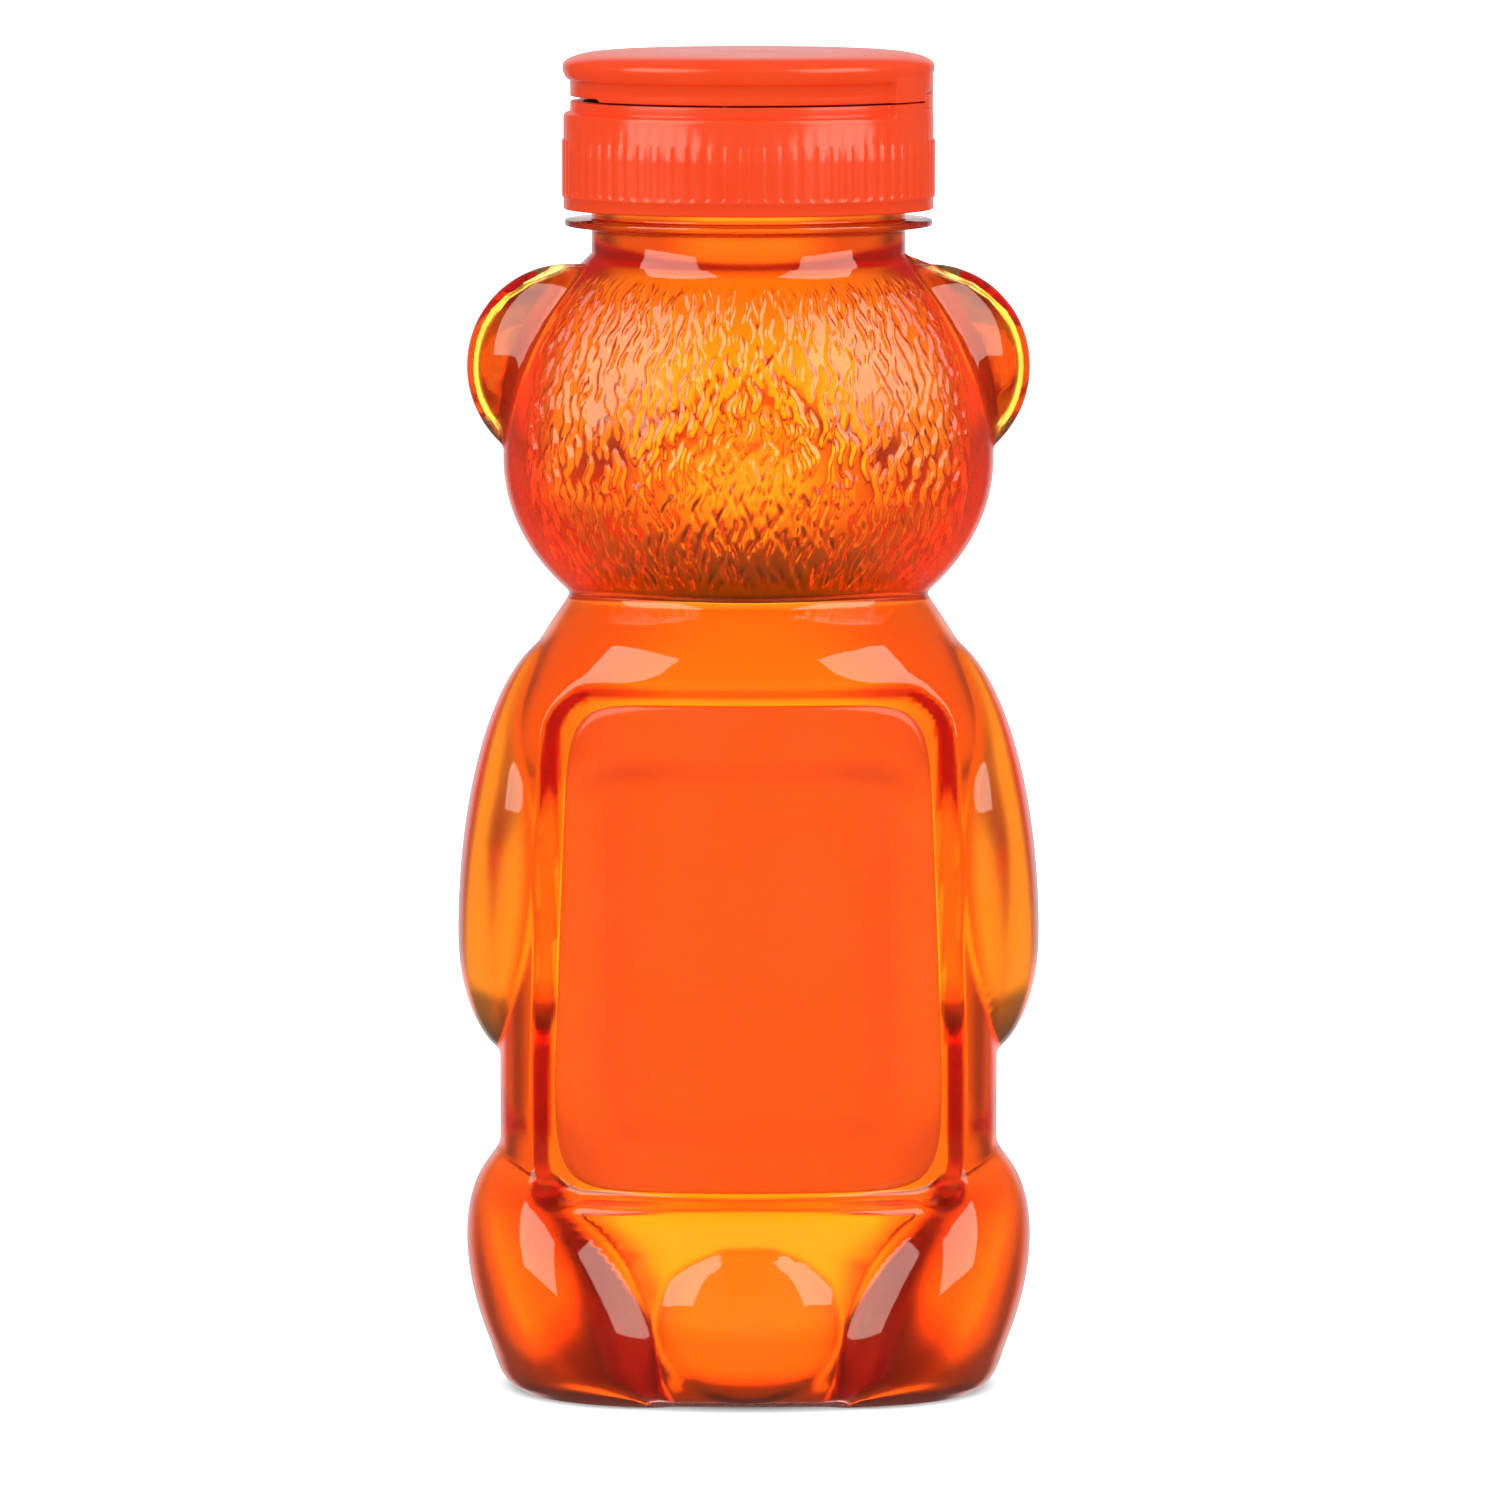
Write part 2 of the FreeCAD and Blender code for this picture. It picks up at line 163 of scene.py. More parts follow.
def rounded_profile(corners: list[Point], steps: int = 5) -> Array:
    """Line through (radius, height) corners, with each corner cut by a quadratic curve.

    The curve runs from the point one rounding before the corner to the point one rounding after it:
    (1 - t)^2 before + 2t(1 - t) corner + t^2 after.

    Args:
        corners: Radius, height and rounding of each corner, in order. A rounding of 0 is a sharp point.
        steps: Points on each rounded corner.

    Returns:
        The points, one row each.
    """
    places = np.array([corner[:2] for corner in corners])
    share = np.linspace(0.0, 1.0, steps)[:, None]
    points = []
    for index, (radius, height, rounding) in enumerate(corners):
        here = np.array([radius, height])
        if rounding == 0:
            points.append(here[None])
            continue
        to_last = places[index - 1] - here
        to_next = places[(index + 1) % len(places)] - here
        before = here + to_last / np.linalg.norm(to_last) * rounding
        after = here + to_next / np.linalg.norm(to_next) * rounding
        points.append((1 - share) ** 2 * before + 2 * share * (1 - share) * here + share ** 2 * after)
    return np.concatenate(points)


def around(radius: Array, angle: Array, height: Array) -> Array:
    """Points at a radius, an angle about Z and a height, with x, y and z last."""
    radius, angle, height = np.broadcast_arrays(radius, angle, height)
    return np.stack([radius * np.cos(angle), radius * np.sin(angle), height], axis=-1)


class RingStack:
    """Rings of points about Z that are joined, each to the next, into one surface."""

    def __init__(self) -> None:
        """Start with no rings."""
        self.rings: list[Array] = []
        self.bands: list[int] = []
        self.painted_shades_and_lights: list[Array] = []

    def add(self, rings: Array, band: int = 0, painted_shade_and_light: Array | None = None) -> None:
        """Add rings in order.

        Args:
            rings: Points as (ring, place on the ring, xyz). A ring of one point closes a pole.
            band: Material place of the faces from the ring before up to each of these.
            painted_shade_and_light: 1 for full painted shade in amber and -1 for full painted light in straw
                at each point, or None for clear.
        """
        self.rings.extend(rings)
        self.bands.extend([band] * len(rings))
        self.painted_shades_and_lights.extend(np.zeros(rings.shape[:2]) if painted_shade_and_light is None else painted_shade_and_light)

    def pole(self, height: float, band: int = 0) -> None:
        """Add a point on the axis."""
        self.add(np.array([[[0.0, 0.0, height]]]), band)

    @staticmethod
    def strip(lower: Array, upper: Array, lower_turn: Array, upper_turn: Array) -> list[Array]:
        """Faces between two rings, outward for rings that run anticlockwise.

        Equal rings give quads and a pole gives a fan. Otherwise each edge of the finer ring takes the
        nearest point of the coarser one, and each edge of the coarser ring takes the point between.

        Args:
            lower: Point numbers of the first ring.
            upper: Point numbers of the next ring.
            lower_turn: Angle of each point of the first ring, rising from about 0.
            upper_turn: Angle of each point of the next ring.

        Returns:
            Arrays of faces.
        """
        lower_next, upper_next = np.roll(lower, -1), np.roll(upper, -1)
        if len(lower) == len(upper):
            return [np.stack([lower, lower_next, upper_next, upper], axis=1)]
        if len(lower) == 1:
            return [np.stack([np.full(len(upper), lower[0]), upper_next, upper], axis=1)]
        if len(upper) == 1:
            return [np.stack([lower, lower_next, np.full(len(lower), upper[0])], axis=1)]
        upper_is_fine = len(upper) > len(lower)
        coarse, fine = (lower, upper) if upper_is_fine else (upper, lower)
        coarse_turn, fine_turn = (lower_turn, upper_turn) if upper_is_fine else (upper_turn, lower_turn)
        middle = (fine_turn + np.append(fine_turn[1:], fine_turn[0] + FULL_TURN)) / 2
        border = (coarse_turn + np.append(coarse_turn[1:], coarse_turn[0] + FULL_TURN)) / 2
        nearest = coarse[np.searchsorted(border, middle) % len(coarse)]
        between = fine[np.searchsorted(middle, border) % len(fine)]
        fine_next, coarse_next = np.roll(fine, -1), np.roll(coarse, -1)
        if upper_is_fine:
            return [np.stack([nearest, fine_next, fine], axis=1),
                    np.stack([coarse, coarse_next, between], axis=1)]
        return [np.stack([fine, fine_next, nearest], axis=1),
                np.stack([coarse_next, coarse, between], axis=1)]

    def build(self, name: str, materials: list[Material], looped: bool = False) -> Piece:
        """Make the mesh object.

        Args:
            name: Name of the piece.
            materials: Materials by their place.
            looped: True where the last ring is joined to the first.

        Returns:
            The smooth-shaded object, linked to the scene.
        """
        counts = [len(ring) for ring in self.rings]
        starts = np.concatenate([[0], np.cumsum(counts)])
        numbers = [np.arange(starts[place], starts[place + 1]) for place in range(len(counts))]
        turns = [np.unwrap(np.arctan2(ring[:, 1], ring[:, 0]), period=FULL_TURN) for ring in self.rings]
        faces: list[list[int]] = []
        bands: list[int] = []
        last = len(counts) if looped else len(counts) - 1
        for place in range(last):
            above = (place + 1) % len(counts)
            for strip in self.strip(numbers[place], numbers[above], turns[place], turns[above]):
                faces.extend(strip.tolist())
                bands.extend([self.bands[above]] * len(strip))
        piece = mesh_object(name, np.concatenate(self.rings), faces, materials, bands)
        painted_shade_and_light = np.concatenate(self.painted_shades_and_lights)
        if painted_shade_and_light.any():
            piece.data.attributes.new("painted_shade_and_light", "FLOAT", "POINT").data.foreach_set("value", painted_shade_and_light)
        return piece


def mesh_object(name: str, points: Array, faces: list[list[int]], materials: list[Material],
                bands: list[int] | None = None) -> Piece:
    """Make a smooth-shaded mesh object from points in millimetres.

    Args:
        name: Name of the piece.
        points: Points as (number, xyz).
        faces: Point numbers of each face.
        materials: Materials by their place.
        bands: Material place of each face, or None where there is one material.

    Returns:
        The object, linked to the scene.
    """
    mesh = bpy.data.meshes.new(name)
    mesh.from_pydata((points * MM).tolist(), [], faces)
    for material in materials:
        mesh.materials.append(material)
    mesh.polygons.foreach_set("use_smooth", np.ones(len(faces), dtype=bool))
    if bands is not None:
        mesh.polygons.foreach_set("material_index", np.array(bands, dtype=np.int32))
    mesh.update()
    piece = bpy.data.objects.new(name, mesh)
    bpy.context.scene.collection.objects.link(piece)
    return piece


def turn_outward(piece: Piece) -> None:
    """Turn the faces of a closed piece outwards.

    Args:
        piece: The piece.
    """
    work = bmesh.new()
    work.from_mesh(piece.data)
    bmesh.ops.recalc_face_normals(work, faces=work.faces[:])
    work.to_mesh(piece.data)
    work.free()


class NodeTree:
    """Short form for adding and joining shader nodes."""

    def __init__(self, tree: bpy.types.NodeTree) -> None:
        """Work on one node tree."""
        self.tree = tree

    @classmethod
    def emptied(cls, owner: Material | bpy.types.World) -> "NodeTree":
        """Node tree of a material or world, without its first nodes.

        Args:
            owner: The material or world.

        Returns:
            Its empty tree.
        """
        owner.use_nodes = True
        owner.node_tree.nodes.clear()
        return cls(owner.node_tree)

    def add(self, kind: str, **settings: object) -> Node:
        """Add a node.

        Args:
            kind: Blender's name of the node type.
            settings: Properties of the node, or values of its inputs where no property has the name.

        Returns:
            The node.
        """
        node = self.tree.nodes.new(kind)
        for name, value in settings.items():
            if hasattr(node, name):
                setattr(node, name, value)
            else:
                node.inputs[name.replace("_", " ").title()].default_value = value
        return node

    def join(self, source: Socket, target: Socket) -> None:
        """Link one socket to another."""
        self.tree.links.new(source, target)

    def feed(self, target: Socket, value: Socket | float | Colour) -> None:
        """Link a socket to another one, or set it to a plain value.

        Args:
            target: Socket that takes the value.
            value: The other socket, a number or a colour.
        """
        if isinstance(value, bpy.types.NodeSocket):
            self.join(value, target)
        else:
            target.default_value = value

    def combined(self, operation: str, *values: Socket | float) -> Socket:
        """Result of a Math node on sockets or plain numbers.

        Args:
            operation: Blender's name of the operation.
            values: Its operands.

        Returns:
            The socket with the result.
        """
        node = self.add("ShaderNodeMath", operation=operation)
        for socket, value in zip(node.inputs, values):
            self.feed(socket, value)
        return node.outputs[0]

    def mixed(self, share: Socket, first: Socket | float | Colour, last: Socket | float | Colour,
              kind: str = "FLOAT") -> Socket:
        """Result of a Mix node.

        Args:
            share: Socket with the share of the last value.
            first: Value at a share of 0.
            last: Value at a share of 1.
            kind: Blender's name of the values' type.

        Returns:
            The socket with the result.
        """
        node = self.add("ShaderNodeMix", data_type=kind)
        for label, value in (("Factor", share), ("A", first), ("B", last)):
            self.feed(node.inputs[label], value)
        return node.outputs["Result"]

    def eased(self, value: Socket, limits: Pair, results: Pair) -> Socket:
        """Smooth change from the first result, at the first limit, to the last result at the last limit.

        Args:
            value: Socket with the value.
            limits: Rising values between which the result changes.
            results: Result at each limit.

        Returns:
            The socket with the result.
        """
        node = self.add("ShaderNodeMapRange", interpolation_type="SMOOTHSTEP", from_min=limits[0],
                        from_max=limits[1], to_min=results[0], to_max=results[1])
        self.join(value, node.inputs["Value"])
        return node.outputs["Result"]


class MouldedSurface:
    """Node group with the uneven gloss, tint and fine relief that moulded surfaces share."""

    name = "moulded_surface"
    inputs = ("Broad Scale", "Fine Scale", "Low", "High")
    outputs = ("Cloud", "Gloss", "Height")
    cloud_limits = (0.3, 0.7)

    def __init__(self) -> None:
        """Build the group once: a broad noise for cloud and gloss, and a fine one for the height."""
        self.group = bpy.data.node_groups.new(self.name, "ShaderNodeTree")
        sockets = self.group.interface
        for label in self.inputs:
            sockets.new_socket(label, in_out="INPUT", socket_type="NodeSocketFloat")
        for label in self.outputs:
            sockets.new_socket(label, in_out="OUTPUT", socket_type="NodeSocketFloat")
        tree = NodeTree(self.group)
        given = tree.add("NodeGroupInput")
        result = tree.add("NodeGroupOutput")
        place = tree.add("ShaderNodeTexCoord")
        broad = tree.add("ShaderNodeTexNoise", detail=3.0)
        fine = tree.add("ShaderNodeTexNoise", detail=2.0)
        for noise, label in ((broad, "Broad Scale"), (fine, "Fine Scale")):
            tree.join(place.outputs["Object"], noise.inputs["Vector"])
            tree.join(given.outputs[label], noise.inputs["Scale"])
        low, high = self.cloud_limits
        spread = tree.add("ShaderNodeMapRange", from_min=low, from_max=high)
        tree.join(broad.outputs["Fac"], spread.inputs["Value"])
        tree.join(given.outputs["Low"], spread.inputs["To Min"])
        tree.join(given.outputs["High"], spread.inputs["To Max"])
        tree.join(broad.outputs["Fac"], result.inputs["Cloud"])
        tree.join(spread.outputs["Result"], result.inputs["Gloss"])
        tree.join(fine.outputs["Fac"], result.inputs["Height"])

    def place(self, tree: NodeTree, broad: float, fine: float, rough: Pair) -> Node:
        """Put the group into a material.

        Args:
            tree: The material's nodes.
            broad: Noise scale of the uneven tint and gloss.
            fine: Noise scale of the relief.
            rough: Least and most roughness.

        Returns:
            The group's node.
        """
        node = tree.add("ShaderNodeGroup", node_tree=self.group)
        for label, value in zip(self.inputs, (broad, fine, *rough)):
            node.inputs[label].default_value = value
        return node


def new_material(name: str) -> tuple[Material, NodeTree, Node, Node]:
    """Make a material with a Principled shader.

    Args:
        name: Name of the material.

    Returns:
        The material, its nodes, the shader and the output node.
    """
    material = bpy.data.materials.new(name)
    tree = NodeTree.emptied(material)
    shader = tree.add("ShaderNodeBsdfPrincipled")
    output = tree.add("ShaderNodeOutputMaterial")
    tree.join(shader.outputs["BSDF"], output.inputs["Surface"])
    return material, tree, shader, output


def make_clear(shader: Node, index: float) -> None:
    """Let a shader pass all light, bent by its index."""
    shader.inputs["Transmission Weight"].default_value = 1.0
    shader.inputs["IOR"].default_value = index


def add_clouds(tree: NodeTree, group: Node, shader: Node, deep: Colour, light: Colour) -> None:
    """Feed a clouded tint between two colours, and the group's gloss, to the shader.

    Args:
        tree: The material's nodes.
        group: Node of the shared surface group.
        shader: The Principled shader.
        deep: Colour where there is no cloud.
        light: Colour of full cloud.
    """
    tint = tree.mixed(group.outputs["Cloud"], deep, light, "RGBA")
    tree.join(tint, shader.inputs["Base Color"])
    tree.join(group.outputs["Gloss"], shader.inputs["Roughness"])


def add_relief(tree: NodeTree, group: Node, shader: Node, strength: float, depth: float) -> None:
    """Feed the group's height to the shader's normal.

    Args:
        tree: The material's nodes.
        group: Node of the shared surface group.
        shader: The Principled shader.
        strength: Share of the relief.
        depth: Depth of the relief.
    """
    bump = tree.add("ShaderNodeBump", strength=strength, distance=depth)
    tree.join(group.outputs["Height"], bump.inputs["Height"])
    tree.join(bump.outputs["Normal"], shader.inputs["Normal"])


@dataclass(frozen=True)
class ClearPet:
    """Clear blown wall: a faintly uneven, glossy plastic glass, with painted shade in amber and painted light
    in straw by place.
    """

    clear_tint: Colour = (0.985, 0.975, 0.945, 1.0)
    # Painted shade in amber and painted light in straw, laid on the clear wall by place.
    painted_shade_amber: Colour = (0.62, 0.01, 0.004, 1.0)
    painted_light_straw: Colour = (0.9, 0.54, 0.05, 1.0)
    index: float = 1.5
    rough: Pair = (0.015, 0.05)
    cloud_scale: float = 180.0
    ripple_scale: float = 220.0
    ripple_strength: float = 0.35
    ripple_depth: float = 0.00006

    def material(self, surface: MouldedSurface) -> Material:
        """Make the material of the wall's dry faces.

        The mesh's attribute of painted light and shade runs from -1 for painted light in straw over 0 for
        clear to 1 for painted shade in amber. Half of it plus a half is the place on a ramp of the three
        tints.

        Args:
            surface: The shared surface group.

        Returns:
            The material.
        """
        material, tree, shader, _ = new_material("clear_pet")
        # Painted light and shade of each point, read from the mesh.
        painted_shade_and_light = tree.add("ShaderNodeAttribute", attribute_name="painted_shade_and_light")
        ramp = tree.add("ShaderNodeValToRGB")
        ramp.color_ramp.elements[0].color = self.painted_light_straw
        ramp.color_ramp.elements[1].color = self.painted_shade_amber
        ramp.color_ramp.elements.new(0.5).color = self.clear_tint
        tree.join(tree.combined("MULTIPLY_ADD", painted_shade_and_light.outputs["Fac"], 0.5, 0.5), ramp.inputs["Fac"])
        tree.join(ramp.outputs["Color"], shader.inputs["Base Color"])
        make_clear(shader, self.index)
        group = surface.place(tree, self.cloud_scale, self.ripple_scale, self.rough)
        tree.join(group.outputs["Gloss"], shader.inputs["Roughness"])
        add_relief(tree, group, shader, self.ripple_strength, self.ripple_depth)
        return material


@dataclass(frozen=True)
class WettedWall:
    """Inner face that honey wets. It has the honey's own index and carries a haze like the honey's."""

    index: float = 1.15
    haze: float = 0.22

    def material(self) -> Material:
        """Make the material of the wall's wetted faces.

        Returns:
            The material.
        """
        material, _, shader, _ = new_material("wetted_wall")
        shader.inputs["Base Color"].default_value = WHITE
        shader.inputs["Roughness"].default_value = self.haze
        make_clear(shader, self.index)
        return material


@dataclass(frozen=True)
class AmberHoney:
    """Honey that absorbs blue, then green, along the light's way, with a haze at its skin."""

    passed: Colour = (0.997, 0.832, 0.33, 1.0)
    density: float = 250.0
    index: float = 1.15
    haze: float = 0.22

    def material(self) -> Material:
        """Make the material of the contents.

        Returns:
            The material.
        """
        material, tree, shader, output = new_material("amber_honey")
        shader.inputs["Base Color"].default_value = WHITE
        shader.inputs["Roughness"].default_value = self.haze
        make_clear(shader, self.index)
        inside = tree.add("ShaderNodeVolumeAbsorption")
        inside.inputs["Color"].default_value = self.passed
        inside.inputs["Density"].default_value = self.density
        tree.join(inside.outputs["Volume"], output.inputs["Volume"])
        return material


@dataclass(frozen=True)
class OrangePlastic:
    """Bright glossy moulded plastic of the closure."""

    deep: Colour = (0.95, 0.052, 0.006, 1.0)
    light: Colour = (0.98, 0.075, 0.01, 1.0)
    rough: Pair = (0.18, 0.26)
    cloud_scale: float = 90.0
    grain_scale: float = 2600.0
    grain_strength: float = 0.3
    grain_depth: float = 0.00002
    index: float = 1.49
    shine: float = 0.4

    def material(self, surface: MouldedSurface) -> Material:
        """Make the material of the closure's pieces.

        Args:
            surface: The shared surface group.

        Returns:
            The material.
        """
        material, tree, shader, _ = new_material("orange_plastic")
        group = surface.place(tree, self.cloud_scale, self.grain_scale, self.rough)
        add_clouds(tree, group, shader, self.deep, self.light)
        add_relief(tree, group, shader, self.grain_strength, self.grain_depth)
        shader.inputs["IOR"].default_value = self.index
        shader.inputs["Specular IOR Level"].default_value = self.shine
        return material


@dataclass(frozen=True)
class LabelFilm:
    """Thin see-through film with painted shade: an orange tint that darkens the panel behind it, and small
    trapped bubbles.
    """

    # Painted shade: the orange tint and the body's cover darken the panel floor behind the film.
    tint: Colour = (1.0, 0.075, 0.008, 1.0)
    body: float = 0.62
    bubble: float = 0.6
    bubble_scale: float = 260.0
    bubble_edge: Pair = (0.03, 0.06)
    rough: Pair = (0.12, 0.2)
    cloud_scale: float = 120.0
    grain_scale: float = 900.0

    def material(self, surface: MouldedSurface) -> Material:
        """Make the material of the bare label.

        Args:
            surface: The shared surface group.

        Returns:
            The material.
        """
        material, tree, shader, _ = new_material("clear_film")
        # Painted shade over the panel, in orange.
        shader.inputs["Base Color"].default_value = self.tint
        group = surface.place(tree, self.cloud_scale, self.grain_scale, self.rough)
        place = tree.add("ShaderNodeTexCoord")
        bubbles = tree.add("ShaderNodeTexVoronoi", feature="F1", scale=self.bubble_scale)
        tree.join(place.outputs["Object"], bubbles.inputs["Vector"])
        spots = tree.add("ShaderNodeMapRange", clamp=True, from_min=self.bubble_edge[0],
                         from_max=self.bubble_edge[1], to_min=self.bubble, to_max=self.body)
        tree.join(bubbles.outputs["Distance"], spots.inputs["Value"])
        tree.join(spots.outputs["Result"], shader.inputs["Alpha"])
        tree.join(group.outputs["Gloss"], shader.inputs["Roughness"])
        return material


@dataclass(frozen=True)
class LinerFoam:
    """Off-white foamed liner board."""

    dark: Colour = (0.72, 0.7, 0.65, 1.0)
    pale: Colour = (0.86, 0.85, 0.81, 1.0)
    rough: Pair = (0.6, 0.8)
    cloud_scale: float = 400.0
    cell_scale: float = 1800.0
    cell_strength: float = 0.5
    cell_depth: float = 0.00008

    def material(self, surface: MouldedSurface) -> Material:
        """Make the material of the seal.

        Args:
            surface: The shared surface group.

        Returns:
            The material.
        """
        material, tree, shader, _ = new_material("liner_foam")
        group = surface.place(tree, self.cloud_scale, self.cell_scale, self.rough)
        add_clouds(tree, group, shader, self.dark, self.pale)
        add_relief(tree, group, shader, self.cell_strength, self.cell_depth)
        return material


@dataclass(frozen=True)
class Lobe:
    """Ellipsoid on the bear's +X half, leaned about Y and turned about Z.

    Rays use |x|, which mirrors it to the other half.
    """

    centre: Point
    half: Point
    lean: float = 0.0
    turn: float = 0.0
    blend: float = 0.55

    def reach(self, angle: Array, height: Array, inset: float) -> Array:
        """Far crossing of a level ray from the axis, from the quadratic |(r d + e) / half| = 1.

        Args:
            angle: Direction of each ray about Z.
            height: Height of each ray.
            inset: Distance that the lobe is drawn in.

        Returns:
            The crossing's distance, or NO_REACH where the ray passes by.
        """
        cosine, sine = math.cos(math.radians(self.lean)), math.sin(math.radians(self.lean))
        leaned = np.array([[cosine, 0.0, -sine], [0.0, 1.0, 0.0], [sine, 0.0, cosine]])
        cosine, sine = math.cos(math.radians(self.turn)), math.sin(math.radians(self.turn))
        turned = leaned @ np.array([[cosine, sine, 0.0], [-sine, cosine, 0.0], [0.0, 0.0, 1.0]])
        ray = np.stack(np.broadcast_arrays(np.abs(np.cos(angle)), np.sin(angle), 0.0 * height), axis=-1)
        start = np.stack(np.broadcast_arrays(0.0 * angle, 0.0 * angle, height), axis=-1)
        half = np.array(self.half) - inset
        ray = ray @ turned.T / half
        start = (start - np.array(self.centre)) @ turned.T / half
        square = (ray * ray).sum(-1)
        slope = (ray * start).sum(-1)
        rest = (start * start).sum(-1) - 1
        inside = slope * slope - square * rest
        return np.where(inside > 0, (np.sqrt(np.maximum(inside, 0.0)) - slope) / square, NO_REACH)


@dataclass(frozen=True)
class LabelPanel:
    """Recess for a label: a patch of an upright cylinder with a sloped edge all round."""

    side: Side
    depth: float
    half_width: float
    top_half_width: float
    bottom: float
    taper_from: float
    top: float
    corner: float
    edge: float
    scoop: float
    ledge: float
    bow: float = 44.0
    least_facing: float = 0.1

    def taper(self, height: Array) -> Array:
        """Share of the narrowing towards the top, 0 up to where the taper starts."""
        return np.clip((height - self.taper_from) / (self.top - self.taper_from), 0, 1)

    def share(self, across: Array, height: Array) -> Array:
        """Share of the full depth, from the distance to a rounded rectangle.

        The taper is widened to straight sides first. Then the scoop at the top and the ledge at the
        bottom are squeezed to the width of the side edges, so that one slope rule serves all four sides.

        Args:
            across: Distance from the middle along X.
            height: Height.

        Returns:
            0 outside the panel, 1 on its floor.
        """
        high, low = self.top - self.scoop, self.bottom + self.ledge
        narrowing = (self.top_half_width - self.half_width) * self.taper(height)
        across = across * self.half_width / (self.half_width + narrowing)
        level = np.where(height > high, high + (height - high) * self.edge / self.scoop, height)
        level = np.where(height < low, low + (height - low) * self.edge / self.ledge, level)
        middle = (high + low) / 2
        tall = (high - low) / 2 + self.edge
        past_side = np.abs(across) - (self.half_width - self.corner)
        past_end = np.abs(level - middle) - (tall - self.corner)
        outside = np.hypot(np.maximum(past_side, 0), np.maximum(past_end, 0)) - self.corner
        outside = outside + np.minimum(np.maximum(past_side, past_end), 0)
        return smoothstep(0.0, -self.edge, outside)

    def floor(self, angle: Array, half_depth: float, inset: float) -> Array:
        """Far crossing of level rays with the panel's cylinder.

        Args:
            angle: Direction of each ray about Z.
            half_depth: Half depth of the trunk that the panel is cut in.
            inset: Distance that the floor is drawn in.

        Returns:
            The distance along each ray, or NO_REACH for rays to the other side.
        """
        middle = half_depth - self.depth - self.bow
        along = self.side * np.sin(angle)
        radius = self.bow - inset
        far = middle * along + np.sqrt(radius ** 2 - (middle * np.cos(angle)) ** 2)
        return np.where(along > self.least_facing, far, NO_REACH)

    def sink(self, reach: Array, angle: Array, height: Array, half_depth: float, inset: float) -> Array:
        """Lower a surface to the panel's floor.

        Args:
            reach: Surface's distance from the axis.
            angle: Direction of each ray.
            height: Height of each ray.
            half_depth: Half depth of the trunk that the panel is cut in.
            inset: Distance that the surface is drawn in.

        Returns:
            The lowered distance.
        """
        floor = self.floor(angle, half_depth, inset)
        share = self.share(floor * np.cos(angle), height)
        return np.where(floor > 0, reach + share * (np.minimum(floor, reach) - reach), reach)


@dataclass(frozen=True)
class FurRelief:
    """Short wavy raised strokes on the back of the head, one to each cell of a jittered grid."""

    cell_width: float = 1.25
    cell_length: float = 3.5
    columns: int = 64
    rows: int = 16
    jitter_across: float = 0.34
    jitter_up: float = 0.4
    half_width: Pair = (0.36, 0.54)
    length: Pair = (2.6, 4.6)
    sway: Pair = (0.22, 0.48)
    wave: float = 1.9
    tilt: float = 0.16
    strength: Pair = (0.65, 1.0)
    tip_width: float = 0.55
    height: float = 0.36
    seed: int = 11

    def relief(self, across: Array, up: Array) -> Array:
        """Height of the strokes.

        A stroke is (1 - d^2)^2 across its width, with d the distance from a sine-waved middle line,
        times the round taper, the root of (1 - t^2), along its length. The nine nearest cells are looked up.

        Args:
            across: Arc length round the head, 0 at the middle of the back.
            up: Height above the lowest row.

        Returns:
            The height in millimetres.
        """
        random = np.random.default_rng(self.seed)
        size = (self.columns, self.rows)
        shift_across = random.uniform(-self.jitter_across, self.jitter_across, size) * self.cell_width
        shift_up = random.uniform(-self.jitter_up, self.jitter_up, size) * self.cell_length
        half_width = random.uniform(*self.half_width, size)
        half_length = random.uniform(*self.length, size) / 2
        sway = random.uniform(*self.sway, size)
        phase = random.uniform(0, FULL_TURN, size)
        tilt = random.uniform(-self.tilt, self.tilt, size)
        strength = random.uniform(*self.strength, size)
        column = np.floor(across / self.cell_width).astype(int)
        total = np.zeros_like(across)
        for beside in (-1, 0, 1):
            place = column + beside
            stagger = np.where(place % 2 == 0, 0.0, self.cell_length / 2)
            row = np.floor((up - stagger) / self.cell_length).astype(int)
            for above in (-1, 0, 1):
                cell = ((place + self.columns // 2) % self.columns, (row + above) % self.rows)
                middle = (row + above + 0.5) * self.cell_length + stagger + shift_up[cell]
                along = up - middle
                line = (place + 0.5) * self.cell_width + shift_across[cell] + tilt[cell] * along
                line = line + sway[cell] * np.sin(along * self.wave + phase[cell])
                share = np.clip(1 - (along / half_length[cell]) ** 2, 0, 1)
                width = half_width[cell] * (self.tip_width + (1 - self.tip_width) * share)
                ridge = np.clip(1 - ((across - line) / width) ** 2, 0, 1) ** 2
                total = np.maximum(total, ridge * np.sqrt(share) * strength[cell])
        return total * self.height


@dataclass(frozen=True)
class WallPaintedShadeAndLight:
    """How strongly shade and light are painted on the wall at each place, and the limits between which each
    eases in.
    """

    # Painted shade in amber: between the fur strokes, on the crown, at the neck, in the panel and on its
    # slope, on the trunk, haunches, feet and rump. Painted light in straw: on the ears.
    valley: float = 0.22
    valley_depth: Pair = (0.1, 0.75)
    crown: float = 0.55
    crown_height: Pair = (110.0, 119.0)
    neck: float = 0.8
    neck_height: Pair = (121.5, 124.0)
    ear_proud: Pair = (-0.5, 0.5)
    back: Pair = (0.0, 0.4)
    panel: float = 0.62
    panel_depth: Pair = (0.0, 0.2)
    panel_rise: Pair = (0.5, 3.0)
    slope: float = 0.97
    slope_start: Pair = (0.0, 0.15)
    slope_end: Pair = (1.0, 0.97)
    slope_rise: Pair = (2.0, 9.0)
    trunk: float = 0.85
    trunk_proud: Pair = (1.2, 0.2)
    trunk_height: Pair = (21.0, 26.0)
    haunch: float = 0.75
    haunch_aside: Pair = (12.0, 17.0)
    haunch_height: Pair = (27.0, 22.0)
    foot: float = 0.65
    foot_height: Pair = (11.5, 7.0)
    rump: float = 0.15
    rump_height: Pair = (26.0, 22.0)


